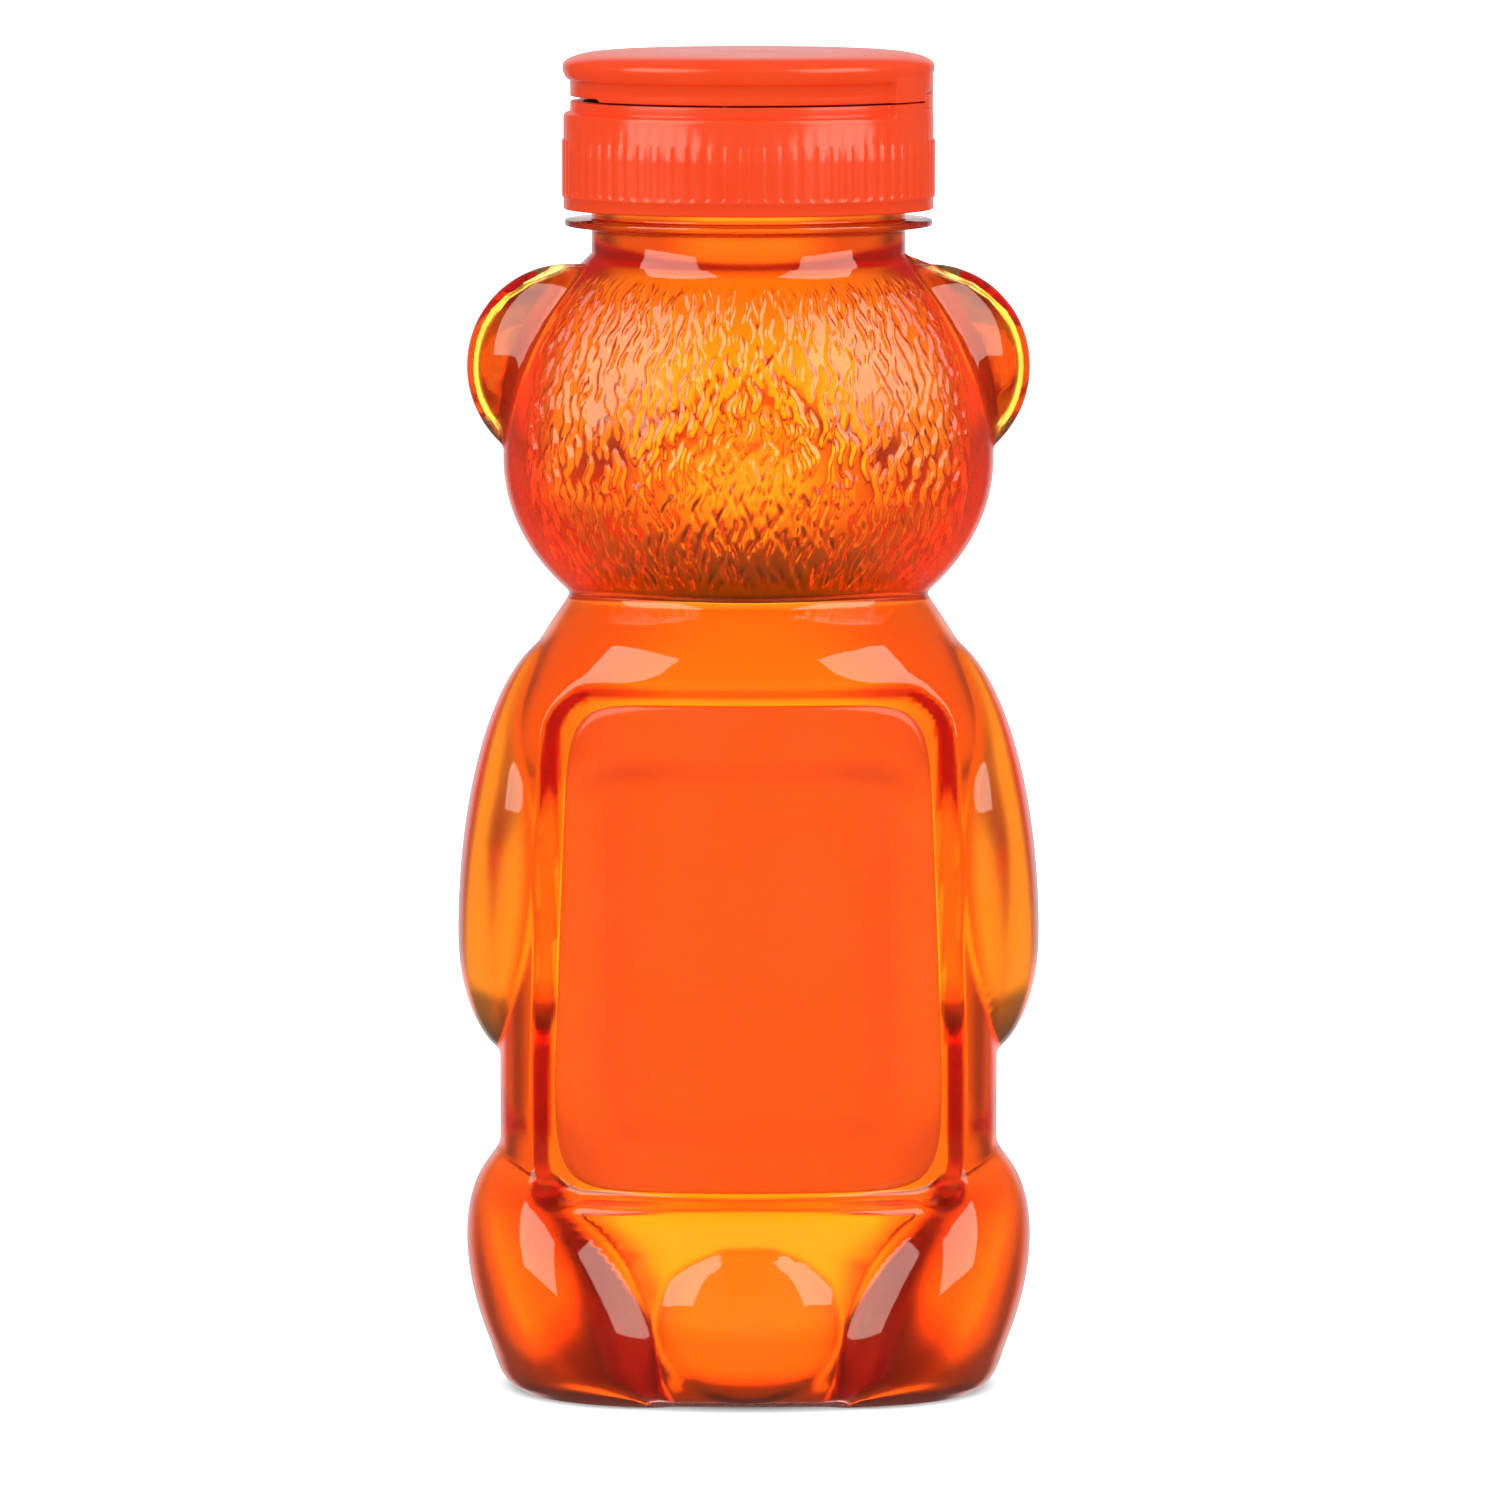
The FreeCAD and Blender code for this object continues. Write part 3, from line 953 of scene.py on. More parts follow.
@dataclass
class Bear:
    """Blown bear with its neck, and the honey that fills it."""

    # Wall and contents
    wall: float = 0.75
    ear_wall_share: float = 2.4
    honey_gap: float = 0.10
    honey_below_lip: float = 6.8
    # Trunk and base
    crease_round: float = 0.55
    trunk_half_width: float = 27.4
    trunk_half_depth: float = 23.2
    trunk_height: float = 87.5
    trunk_power: float = 2.8
    trunk_base_round: float = 5.0
    trunk_base_sink: float = 1.0
    shoulder_rise: float = 18.0
    nape_rise: float = 12.5
    crease_half_width: float = 19.7
    crease_half_depth: float = 17.9
    crease_power: float = 2.1
    crease_overlap: float = 3.0
    standing_half_width: float = 25.0
    standing_half_depth: float = 22.6
    base_bevel: float = 60.0
    base_round: float = 0.8
    push_up_radius: float = 13.0
    push_up_height: float = 1.6
    # Head
    head_middle: float = 102.5
    head_half_width: float = 27.0
    head_half_depth: float = 24.3
    head_lower: float = 21.5
    head_upper: float = 27.5
    head_crown_power: float = 2.5
    head_top: float = 124.0
    # Arms
    arm_offset: float = 20.0
    arm_reach: float = 12.1
    arm_half_depth: float = 19.2
    arm_bottom: float = 36.0
    arm_bottom_reach: float = 7.0
    arm_widest: float = 49.8
    arm_upper: float = 33.7
    arm_lean: float = 0.16
    arm_forward: float = 0.6
    arm_power: float = 4.0
    arm_taper: float = 0.42
    arm_least: float = 1e-3
    arm_search: Stretch = (14.0, 34.0, 41)
    arm_halvings: int = 16
    # Neck, transfer ring and thread
    neck_radius: float = 17.25
    bore_radius: float = 15.4
    neck_blend: float = 1.6
    ring_radius: float = 20.2
    ring_rise: float = 3.8
    ring_thickness: float = 0.7
    ring_slope: float = 0.4
    thread_pitch: float = 4.23
    thread_height: float = 0.95
    thread_turns: float = 1.35
    thread_start: float = 2.0
    thread_fade: float = 0.06
    thread_flank: Pair = (1.05, 0.45)
    thread_margin: float = 0.7
    thread_row: float = 0.3
    # Points of the mesh
    back_angle: float = 90.0
    panel_side_angle: float = 46.0
    panel_side_half: float = 20.0
    body_closeness: float = 3.0
    head_closeness: float = 3.2
    body_columns: int = 264
    head_columns: int = 420
    neck_columns: int = 128
    inner_columns: int = 108
    dome_rings: int = 9
    floor_rings: int = 7
    base_shares: tuple[float, ...] = (0.06, 0.3, 0.6, 0.85, 1.0)
    floor_shares: tuple[float, ...] = (0.97, 0.8, 0.5, 0.2)
    level_shares: tuple[float, ...] = (0.5, 0.9, 1.0)
    body_rows: tuple[Stretch, ...] = (
        (0.12, 1.2, 5), (1.2, 20, 22), (20, 29, 18), (29, 35.8, 6), (35.8, 42, 16), (42, 70, 24),
        (70, 79, 14), (79, 87.6, 14))
    head_rows: tuple[Stretch, ...] = ((87.6, 90, 7), (90, 121, 80), (121, 123, 6))
    crown_rows: Stretch = (1.0, 0.05, 9)
    inner_rows: tuple[Stretch, ...] = ((1.0, 20, 18), (20, 44, 22), (44, 80, 18), (80, 92, 12), (92, 124, 22))
    bore_rows: int = 4
    # Fur, painted light and shade, lobes and panels
    fur_half_angle: float = 68.0
    fur_side_ease: float = 5.0
    fur_floor: float = 88.0
    fur_bottom: Pair = (88.6, 90.2)
    fur_top: Pair = (123.0, 121.4)
    fur_ear_gap: Pair = (0.4, 2.0)
    fur: FurRelief = FurRelief()
    painted_shade_and_light: WallPaintedShadeAndLight = WallPaintedShadeAndLight()
    ear: Lobe = Lobe((19.7, 3.0, 112.6), (11.85, 5.6, 11.4), turn=-20.0)
    haunch: Lobe = Lobe((16.9, 3.4, 8.1), (21.3, 21.9, 11.7), lean=-63.4, blend=1.6)
    foot: Lobe = Lobe((15.5, -17.5, 9.3), (9.0, 10.5, 10.3), blend=1.2)
    tail: Lobe = Lobe((0.0, 20.0, 9.0), (8.4, 5.4, 8.4), blend=6.0)
    muzzle: Lobe = Lobe((0.0, -18.6, 100.0), (10.0, 8.6, 7.6))
    nose: Lobe = Lobe((0.0, -25.6, 103.7), (3.4, 2.2, 2.3))
    eye: Lobe = Lobe((8.6, -21.2, 109.5), (2.3, 2.3, 2.3))
    back_panel: LabelPanel = LabelPanel(
        Side.BACK, depth=2.0, half_width=22.9, top_half_width=21.3, bottom=21.4, taper_from=36.0, top=79.4,
        corner=5.0, edge=1.5, scoop=2.4, ledge=1.8)
    belly_panel: LabelPanel = LabelPanel(
        Side.BELLY, depth=0.9, half_width=14.5, top_half_width=14.5, bottom=25.0, taper_from=46.0, top=69.0,
        corner=6.0, edge=3.0, scoop=4.0, ledge=4.0)

    def __post_init__(self) -> None:
        """Take the neck's heights from the frame."""
        low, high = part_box("neck_finish")
        self.finish_bottom = low.z / MM
        self.lip = high.z / MM
        self.honey_level = self.lip - self.honey_below_lip

    def trunk(self, angle: Array, height: Array, inset: float) -> Array:
        """Reach of the trunk: superellipses that ease from the belly's plan to the crease's.

        The shares across and along are 1 minus the sine of a quarter turn up the shoulder and the nape,
        and a quarter circle rounds the base.

        Args:
            angle: Direction of each ray about Z.
            height: Height of each ray.
            inset: Distance that the trunk is drawn in.

        Returns:
            The distance along each ray, or NO_REACH above the crease.
        """
        below = self.trunk_height - height
        across = 1 - np.sin(np.clip(below / self.shoulder_rise, 0, 1) * math.pi / 2)
        along = 1 - np.sin(np.clip(below / self.nape_rise, 0, 1) * math.pi / 2)
        half_width = self.trunk_half_width + (self.crease_half_width - self.trunk_half_width) * across
        half_depth = self.trunk_half_depth + (self.crease_half_depth - self.trunk_half_depth) * along
        power = self.trunk_power + (self.crease_power - self.trunk_power) * along
        round_top = self.trunk_base_round - self.trunk_base_sink + inset
        turn = np.clip((round_top - height) / self.trunk_base_round, 0, 1)
        less = inset + self.trunk_base_round * (1 - np.sqrt(1 - turn * turn))
        reach = superellipse_reach(angle, half_width - less, half_depth - less, power)
        return np.where(height < self.trunk_height + self.crease_overlap, reach, NO_REACH)

    def head(self, angle: Array, height: Array, inset: float) -> Array:
        """Reach of the head: ellipses whose size follows a half ellipse down and a fuller one up.

        Args:
            angle: Direction of each ray about Z.
            height: Height of each ray.
            inset: Distance that the head is drawn in.

        Returns:
            The distance along each ray, or NO_REACH above and below the head.
        """
        tall = np.where(height > self.head_middle, self.head_upper, self.head_lower) - inset
        power = np.where(height > self.head_middle, self.head_crown_power, 2.0)
        share = 1 - np.abs((height - self.head_middle) / tall) ** power
        size = np.sqrt(np.maximum(share, 0.0))
        half_width, half_depth = self.head_half_width - inset, self.head_half_depth - inset
        reach = superellipse_reach(angle, half_width, half_depth, 2.0) * size
        return np.where(share > 0, reach, NO_REACH)

    def arm(self, angle: Array, height: Array, inset: float) -> Array:
        """Far crossing of a level ray with the arm.

        A level section is |u| ^ power + |v| ^ power = 1, with u across the arm and v along Y, narrowed
        outwards by the taper. Its size follows a drop up the arm and its middle leans forward. The far
        crossing is the last inside step along the ray, halved down.

        Args:
            angle: Direction of each ray about Z.
            height: Height of each ray.
            inset: Distance that the arm is drawn in.

        Returns:
            The crossing's distance, or NO_REACH where the ray passes by.
        """
        widest, top = self.arm_reach - inset, self.arm_widest + self.arm_upper - inset
        bottom = self.arm_bottom + inset
        low = np.clip((self.arm_widest - height) / (self.arm_widest - bottom), 0, 1)
        high = np.clip((height - self.arm_widest) / (top - self.arm_widest), 0, 1)
        size = widest - self.arm_bottom_reach * (1 - np.sqrt(1 - low * low))
        size = np.where(height > self.arm_widest, widest * np.sqrt(1 - high * high), size)
        size = np.maximum(size, self.arm_least)
        middle = self.arm_lean * (height - self.arm_widest - self.arm_upper / 3) - self.arm_forward
        stretch = (self.arm_half_depth - inset) / widest
        cosine, sine = np.abs(np.cos(angle)), np.sin(angle)

        def inside(reach: Array) -> Array:
            """Whether points at these distances along the rays lie in the arm.

            Args:
                reach: The distances.

            Returns:
                True for each point inside.
            """
            across = reach * cosine - self.arm_offset
            along = np.abs(reach * sine - middle) + self.arm_taper * across
            total = np.abs(across / size) ** self.arm_power
            return total + np.abs(along / (size * stretch)) ** self.arm_power < 1

        steps = np.linspace(*self.arm_search)
        found = np.full(np.broadcast_shapes(angle.shape, height.shape), NO_REACH)
        for step in steps:
            found = np.where(inside(step), step, found)
        span = steps[1] - steps[0]
        for _ in range(self.arm_halvings):
            span = span / 2
            found = np.where(inside(found + span), found + span, found)
        return np.where((height > bottom) & (height < top), found, NO_REACH)

    def reach(self, angle: Array, height: Array, inset: float, neck: float) -> Array:
        """Distance from the axis to the bear's skin.

        It is the rounded maximum of all lobes, lowered into the panels and held inside the bevel that
        rounds the base.

        Args:
            angle: Direction of each ray about Z.
            height: Height of each ray.
            inset: Distance that the skin is drawn in.
            neck: Radius of the neck above the head.

        Returns:
            The distance along each ray.
        """
        reach = self.trunk(angle, height, inset)
        reach = smooth_max(reach, self.head(angle, height, inset), self.crease_round)
        reach = smooth_max(reach, self.arm(angle, height, inset), self.crease_round)
        ear = self.ear.reach(angle, height, inset * self.ear_wall_share)
        reach = smooth_max(reach, ear, self.ear.blend)
        for lobe in (self.haunch, self.foot, self.tail, self.muzzle, self.nose, self.eye):
            reach = smooth_max(reach, lobe.reach(angle, height, inset), lobe.blend)
        stub = np.where(height > self.head_middle, neck, NO_REACH)
        reach = smooth_max(reach, stub, self.neck_blend)
        for panel in (self.back_panel, self.belly_panel):
            reach = panel.sink(reach, angle, height, self.trunk_half_depth, inset)
        grow = (height - inset) * math.tan(math.radians(self.base_bevel)) - inset
        half_width, half_depth = self.standing_half_width + grow, self.standing_half_depth + grow
        bevel = superellipse_reach(angle, half_width, half_depth, self.trunk_power)
        return smooth_min(reach, bevel, self.base_round)

    @staticmethod
    def columns(count: int, middle: float, half: float, closeness: float) -> Array:
        """Angles round Z, closer together within half degrees of the middle, mirrored in the YZ plane.

        Each angle takes an equal part of the running sum of a weight that is 1, and more near the middle.

        Args:
            count: Number of angles.
            middle: Middle of the close stretch, in degrees from +X.
            half: Half of the close stretch, in degrees.
            closeness: Weight of the close stretch.

        Returns:
            The angles in radians, rising from 0, as one row.
        """
        ease, samples = 4.0, 7201
        fine = np.linspace(0, FULL_TURN, samples)
        mirrored = np.degrees(np.arctan2(np.sin(fine), np.abs(np.cos(fine))))
        weight = 1 + (closeness - 1) * smoothstep(half + ease, half - ease, np.abs(mirrored - middle))
        total = np.concatenate([[0.0], np.cumsum((weight[1:] + weight[:-1]) / 2)])
        return np.interp(np.linspace(0, total[-1], count, endpoint=False), total, fine)[None]

    def fur_share(self, angle: Array, height: Array) -> Array:
        """Share of the fur: 1 on the back of the head, 0 at the crease, the neck, the ears and the sides.

        Args:
            angle: Direction of each point.
            height: Height of each point.

        Returns:
            The shares.
        """
        aside = np.abs(angle - math.pi / 2)
        half = math.radians(self.fur_half_angle)
        share = smoothstep(half, half - math.radians(self.fur_side_ease), aside)
        share = share * smoothstep(*self.fur_bottom, height) * smoothstep(*self.fur_top, height)
        free = self.head(angle, height, 0.0) - self.ear.reach(angle, height, 0.0)
        return share * smoothstep(*self.fur_ear_gap, free)

    def body_painted_shade(self, angle: Array, height: Array, reach: Array) -> Array:
        """Painted shade of the body, in amber: the largest share of the panel, its slope, trunk, haunches,
        foot and rump.

        Args:
            angle: Direction of each point.
            height: Height of each point.
            reach: Distance of each point from the axis.

        Returns:
            The painted shade of each point.
        """
        painted_shade_and_light, panel = self.painted_shade_and_light, self.back_panel
        floor = panel.floor(angle, self.trunk_half_depth, 0.0)
        depth = np.where(floor > 0, panel.share(floor * np.cos(angle), height), 0.0)
        rise = height - panel.bottom
        back = smoothstep(*painted_shade_and_light.back, np.sin(angle))
        proud = np.abs(reach - self.trunk(angle, height, 0.0))
        aside = np.abs(reach * np.cos(angle))
        sunk = smoothstep(*painted_shade_and_light.panel_depth, depth) * smoothstep(*painted_shade_and_light.panel_rise, rise)
        slope = smoothstep(*painted_shade_and_light.slope_start, depth) * smoothstep(*painted_shade_and_light.slope_end, depth)
        slope = slope * smoothstep(*painted_shade_and_light.slope_rise, rise)
        trunk = back * smoothstep(*painted_shade_and_light.trunk_proud, proud) * smoothstep(*painted_shade_and_light.trunk_height, height)
        haunch = back * smoothstep(*painted_shade_and_light.haunch_aside, aside) * smoothstep(*painted_shade_and_light.haunch_height, height)
        foot = smoothstep(*painted_shade_and_light.foot_height, height)
        rump = back * smoothstep(*painted_shade_and_light.rump_height, height)
        shares = (painted_shade_and_light.panel * sunk, painted_shade_and_light.slope * slope, painted_shade_and_light.trunk * trunk, painted_shade_and_light.haunch * haunch,
                  painted_shade_and_light.foot * foot, painted_shade_and_light.rump * rump)
        return np.maximum.reduce(np.broadcast_arrays(*shares))

    def head_painted_shade_and_light(self, angle: Array, height: Array, strokes: Array, furry: Array) -> Array:
        """Painted shade in amber between the strokes, on the crown and at the neck, and painted light in
        straw on the ears.

        Args:
            angle: Direction of each point.
            height: Height of each point.
            strokes: Height of the strokes.
            furry: Share of the fur.

        Returns:
            The stain of each point.
        """
        painted_shade_and_light = self.painted_shade_and_light
        # Painted shade between the strokes, on the crown and at the neck; painted light on the ears where
        # they stand proud.
        amber = painted_shade_and_light.valley * furry * (1 - smoothstep(*painted_shade_and_light.valley_depth, strokes / self.fur.height))
        amber = np.maximum(amber, painted_shade_and_light.crown * smoothstep(*painted_shade_and_light.crown_height, height))
        amber = np.maximum(amber, painted_shade_and_light.neck * smoothstep(*painted_shade_and_light.neck_height, height))
        proud = self.ear.reach(angle, height, 0.0) - self.head(angle, height, 0.0)
        straw = smoothstep(*painted_shade_and_light.ear_proud, proud)
        return amber * (1 - straw) - straw

    def dome(self, radius: Array | float, inset: float) -> Array:
        """Height of the push-up: the top of a sphere through its rim and its peak.

        Args:
            radius: Distance of each point from the axis.
            inset: Distance that the dome is drawn in.

        Returns:
            The heights.
        """
        sphere = (self.push_up_radius ** 2 + self.push_up_height ** 2) / (2 * self.push_up_height) + inset
        return self.push_up_height + inset - sphere + np.sqrt(sphere ** 2 - radius ** 2)

    def add_body(self, stack: RingStack) -> None:
        """Add the base and the body up to the crease.

        Args:
            stack: Rings of the bottle.
        """
        angle = self.columns(self.body_columns, self.panel_side_angle, self.panel_side_half,
                             self.body_closeness)
        rim = self.push_up_radius
        stack.pole(self.push_up_height)
        radius = np.linspace(0, rim, self.dome_rings)[1:, None]
        stack.add(around(radius, angle, self.dome(radius, 0.0)))
        edge = self.reach(angle, np.zeros((1, 1)), 0.0, self.neck_radius)
        share = np.array(self.base_shares)[:, None]
        stack.add(around(rim + share * (edge - rim), angle, 0.0))
        height = spaced(*self.body_rows)[:, None]
        reach = self.reach(angle, height, 0.0, self.neck_radius)
        # Painted shade on the body's wall.
        stack.add(around(reach, angle, height), painted_shade_and_light=self.body_painted_shade(angle, height, reach))

    def add_head(self, stack: RingStack) -> None:
        """Add the head with its fur, from the crease to the root of the neck.

        Args:
            stack: Rings of the bottle.
        """
        angle = self.columns(self.head_columns, self.back_angle, self.fur_half_angle, self.head_closeness)
        crown = self.head_top - np.linspace(*self.crown_rows) ** 2
        height = np.concatenate([spaced(*self.head_rows), crown])[:, None]
        reach = self.reach(angle, height, 0.0, self.neck_radius)
        across = (angle - math.pi / 2) * self.head_half_width + 0.0 * height
        strokes = self.fur.relief(across, height - self.fur_floor + 0.0 * angle)
        furry = self.fur_share(angle, height)
        # Painted shade on the fur and crown, painted light on the ears.
        painted_shade_and_light = self.head_painted_shade_and_light(angle, height, strokes, furry)
        stack.add(around(reach + strokes * furry, angle, height), painted_shade_and_light=painted_shade_and_light)

    def add_neck(self, stack: RingStack) -> None:
        """Add the finish: the transfer ring, the thread and the rounded lip.

        The thread's height at each point is an eased flank about a helix, faded out at both ends.

        Args:
            stack: Rings of the bottle.
        """
        angle = full_circle(self.neck_columns)[None]
        ring_top = self.finish_bottom + self.ring_rise
        ring_bottom = ring_top - self.ring_thickness
        lower = rounded_profile([
            (self.neck_radius, self.finish_bottom + 0.1, 0),
            (self.neck_radius, ring_bottom - self.ring_slope, 0.3),
            (self.ring_radius, ring_bottom, 0.2), (self.ring_radius, ring_top, 0.2),
            (self.neck_radius, ring_top, 0.3), (self.neck_radius, ring_top + 0.5, 0),
        ])
        rings = around(lower[:, :1], angle, lower[:, 1:])
        # Painted shade on the finish up to the transfer ring.
        stack.add(rings, painted_shade_and_light=np.full(rings.shape[:2], self.painted_shade_and_light.neck))
        first, last = ring_top + self.thread_margin, self.lip - self.thread_margin
        height = np.arange(first, last, self.thread_row)[:, None]
        turn = angle / FULL_TURN
        total = np.zeros_like(height + turn)
        for lap in range(math.ceil(self.thread_turns)):
            along = turn + lap
            middle = ring_top + self.thread_start + self.thread_pitch * along
            ends = smoothstep(0.0, self.thread_fade, along)
            ends = ends * smoothstep(self.thread_turns, self.thread_turns - self.thread_fade, along)
            total = np.maximum(total, ends * smoothstep(*self.thread_flank, np.abs(height - middle)))
        stack.add(around(self.neck_radius + self.thread_height * total, angle, height))
        lip = rounded_profile([
            (self.neck_radius, self.lip - 0.6, 0), (self.neck_radius, self.lip, 0.5),
            (self.bore_radius, self.lip, 0.3), (self.bore_radius, self.lip - 0.5, 0),
        ])
        stack.add(around(lip[:, :1], angle, lip[:, 1:]))

    def inner_heights(self) -> Array:
        """Heights of the inner surfaces, from the honey's level down."""
        return spaced(*self.inner_rows, (self.head_top, self.honey_level, self.bore_rows))[::-1, None]

    def add_inside(self, stack: RingStack) -> None:
        """Add the bore and the inner face of the wall, from the honey's level down to the floor.

        Args:
            stack: Rings of the bottle.
        """
        angle = full_circle(self.inner_columns)[None]
        level = np.array([[self.honey_level]])
        stack.add(around(self.bore_radius, angle, level), Wall.OUTSIDE)
        height = self.inner_heights()
        reach = self.reach(angle, height, self.wall, self.bore_radius)
        stack.add(around(reach, angle, height), Wall.WETTED)
        self.add_floor(stack, angle, self.wall, Wall.WETTED)

    def add_floor(self, stack: RingStack, angle: Array, inset: float, band: int) -> None:
        """Add the inner floor, from its edge in to the dome's middle.

        Args:
            stack: Rings to add to.
            angle: Direction of each point of a ring.
            inset: Distance that the floor is drawn in.
            band: Material place of its faces.
        """
        rim = self.push_up_radius
        rise = self.dome(rim, inset)
        edge = self.reach(angle, np.array([[inset + 0.02]]), inset, self.bore_radius)
        share = np.array(self.floor_shares)[:, None]
        stack.add(around(rim + share * (edge - rim), angle, inset + (rise - inset) * (1 - share)), band)
        radius = np.linspace(rim, 0, self.floor_rings)[:-1, None]
        stack.add(around(radius, angle, self.dome(radius, inset)), band)
        stack.pole(self.push_up_height + inset, band)

    def build_bottle(self, surface: MouldedSurface) -> Piece:
        """Make the bottle as one closed wall, outside and inside.

        Args:
            surface: The shared surface group.

        Returns:
            The bottle's object.
        """
        stack = RingStack()
        self.add_body(stack)
        self.add_head(stack)
        self.add_neck(stack)
        self.add_inside(stack)
        return stack.build("bear_bottle", [ClearPet().material(surface), WettedWall().material()])

    def build_honey(self) -> Piece:
        """Make the contents, a little clear of the wall.

        Returns:
            The honey's object.
        """
        stack = RingStack()
        inset = self.wall + self.honey_gap
        angle = full_circle(self.inner_columns)[None]
        radius = self.bore_radius - self.honey_gap
        stack.pole(self.honey_level)
        share = np.array(self.level_shares)[:, None]
        stack.add(around(radius * share, angle, self.honey_level))
        height = self.inner_heights()[1:]
        stack.add(around(self.reach(angle, height, inset, radius), angle, height))
        self.add_floor(stack, angle, inset, 0)
        piece = stack.build("honey_fill", [AmberHoney().material()])
        turn_outward(piece)
        return piece


@dataclass
class Closure:
    """Flip-top screw closure: ribbed base, lid and the web between them."""

    skirt_bore: float = 19.0
    skirt_radius: float = 20.35
    grip_proud: float = 0.15
    grip_rise: float = 1.3
    grip_height: float = 6.4
    ribs: int = 75
    rib_columns: int = 10
    groove_width: float = 0.95
    groove_depth: float = 0.13
    groove_wall: float = 0.2
    groove_rise: float = 0.75
    groove_end: float = 0.06
    groove_foot: float = 1.2
    deck_thickness: float = 1.2
    shoulder_round: float = 0.6
    collar_radius: float = 19.6
    collar_thickness: float = 1.4
    collar_height: float = 1.2
    spout_bore: float = 3.3
    spout_radius: float = 4.5
    spout_height: float = 4.1
    hinge_side: float = 180.0
    thumb_side: float = 0.0
    window_ease: float = 0.4
    boss_radius: float = 20.3
    boss_angle: float = 38.0
    web_angle: float = 16.5
    web_thickness: float = 0.4
    web_half_height: float = 0.8
    web_gap: float = 0.05
    web_round: float = 0.15
    web_edge: float = 0.05
    web_rows: int = 14
    web_columns: int = 30
    lid_thickness: float = 1.4
    lid_columns: int = 480
    rim_proud: float = 0.85
    rim_height: float = 3.1
    crown_radius: float = 15.5
    crown_rings: tuple[float, ...] = (11.0, 6.0, 2.0)
    plug_radius: float = 3.1
    plug_bore: float = 2.1
    plug_depth: float = 0.7
    notch_angle: float = 33.0
    notch_height: float = 0.35

    def __post_init__(self) -> None:
        """Take the heights from the frame."""
        self.skirt_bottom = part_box("closure_base")[0].z / MM
        self.spout_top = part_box("closure_base")[1].z / MM
        self.lid_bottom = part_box("flip_lid")[0].z / MM
        self.lid_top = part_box("flip_lid")[1].z / MM
        web_low, web_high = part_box("living_hinge")
        self.hinge_height = (web_low.z + web_high.z) / 2 / MM
        self.web_bottom = self.hinge_height - self.web_half_height
        self.web_top = self.hinge_height + self.web_half_height
        self.deck_top = self.spout_top - self.spout_height
        self.deck_bottom = self.deck_top - self.deck_thickness
        self.collar_top = self.deck_top + self.collar_height
        self.collar_bore = self.collar_radius - self.collar_thickness

    def window(self, angle: Array, middle: float, half: float) -> Array:
        """1 within half degrees of the middle direction, with a narrow eased edge, else 0."""
        aside = np.abs((np.degrees(angle) - middle + 180) % 360 - 180)
        return smoothstep(half + self.window_ease, half - self.window_ease, aside)

    def seat_hinge(self, radius: Array, angle: Array, outer: Array, beside_web: Array) -> Array:
        """Raise the hinge's boss and sink the rebate that the web lies in.

        Args:
            radius: Radius of each point.
            angle: Direction of each point.
            outer: Whether each point is on the outside that carries the boss.
            beside_web: Whether each point is at the web's height.

        Returns:
            The changed radius.
        """
        boss = np.where(outer, self.window(angle, self.hinge_side, self.boss_angle), 0.0)
        radius = radius + boss * (np.maximum(radius, self.boss_radius) - radius)
        rebate = self.boss_radius - self.web_thickness - self.web_gap
        recess = np.where(outer & beside_web, self.window(angle, self.hinge_side, self.web_angle), 0.0)
        return radius + recess * (np.minimum(radius, rebate) - radius)

    def grooves(self, angle: Array, height: Array, radius: float) -> Array:
        """Depth of the grip's grooves: upright capsules, evenly spaced, with a soft wall.

        Args:
            angle: Direction of each point.
            height: Height of each point.
            radius: Radius of the grip band.

        Returns:
            The depth in millimetres.
        """
        pitch = FULL_TURN / self.ribs
        aside = ((angle + pitch / 2) % pitch - pitch / 2) * radius
        bottom = self.skirt_bottom + self.grip_rise + self.groove_rise
        top = self.skirt_bottom + self.grip_rise + self.grip_height
        distance = np.hypot(aside, np.maximum(bottom - height, 0.0))
        share = smoothstep(self.groove_width / 2, self.groove_width / 2 - self.groove_wall, distance)
        return share * self.groove_depth * smoothstep(top + self.groove_end, top, height)

    def build_base(self, material: Material) -> Piece:
        """Make the screw base as one profile turned about Z, with grooves, boss and rebate.

        Args:
            material: The closure's plastic.

        Returns:
            The base's object.
        """
        angle = full_circle(self.ribs * self.rib_columns)[None]
        grip_bottom = self.skirt_bottom + self.grip_rise
        grip_top = grip_bottom + self.grip_height
        grip_radius = self.skirt_radius + self.grip_proud
        foot = grip_bottom + self.groove_foot
        rise = spaced((grip_bottom + 0.12, foot, 9), (foot, grip_top - 0.3, 3))
        band = [(grip_radius, height, 0) for height in (*rise, grip_top - 0.1)]
        profile = rounded_profile([
            (self.skirt_bore, self.skirt_bottom, 0.2), (self.skirt_radius, self.skirt_bottom, 0.25),
            (self.skirt_radius, grip_bottom - 0.02, 0), *band, (self.skirt_radius, grip_top + 0.04, 0),
            (self.skirt_radius, self.deck_top, self.shoulder_round),
            (self.collar_radius, self.deck_top, 0.1), (self.collar_radius, self.web_bottom - 0.06, 0),
            (self.collar_radius, self.web_bottom, 0), (self.collar_radius, self.collar_top, 0.12),
            (self.collar_bore, self.collar_top, 0.12), (self.collar_bore, self.deck_top, 0.2),
            (self.spout_radius, self.deck_top, 0.4), (self.spout_radius, self.spout_top, 0.3),
            (self.spout_bore, self.spout_top, 0.3), (self.spout_bore, self.deck_bottom, 0.2),
            (self.skirt_bore, self.deck_bottom, 0.2),
        ])
        radius, height = profile[:, :1] + 0 * angle, profile[:, 1:] + 0 * angle
        on_band = (height > grip_bottom) & (height < grip_top) & (radius > self.skirt_bore + 0.5)
        radius = radius - np.where(on_band, self.grooves(angle, height, grip_radius), 0.0)
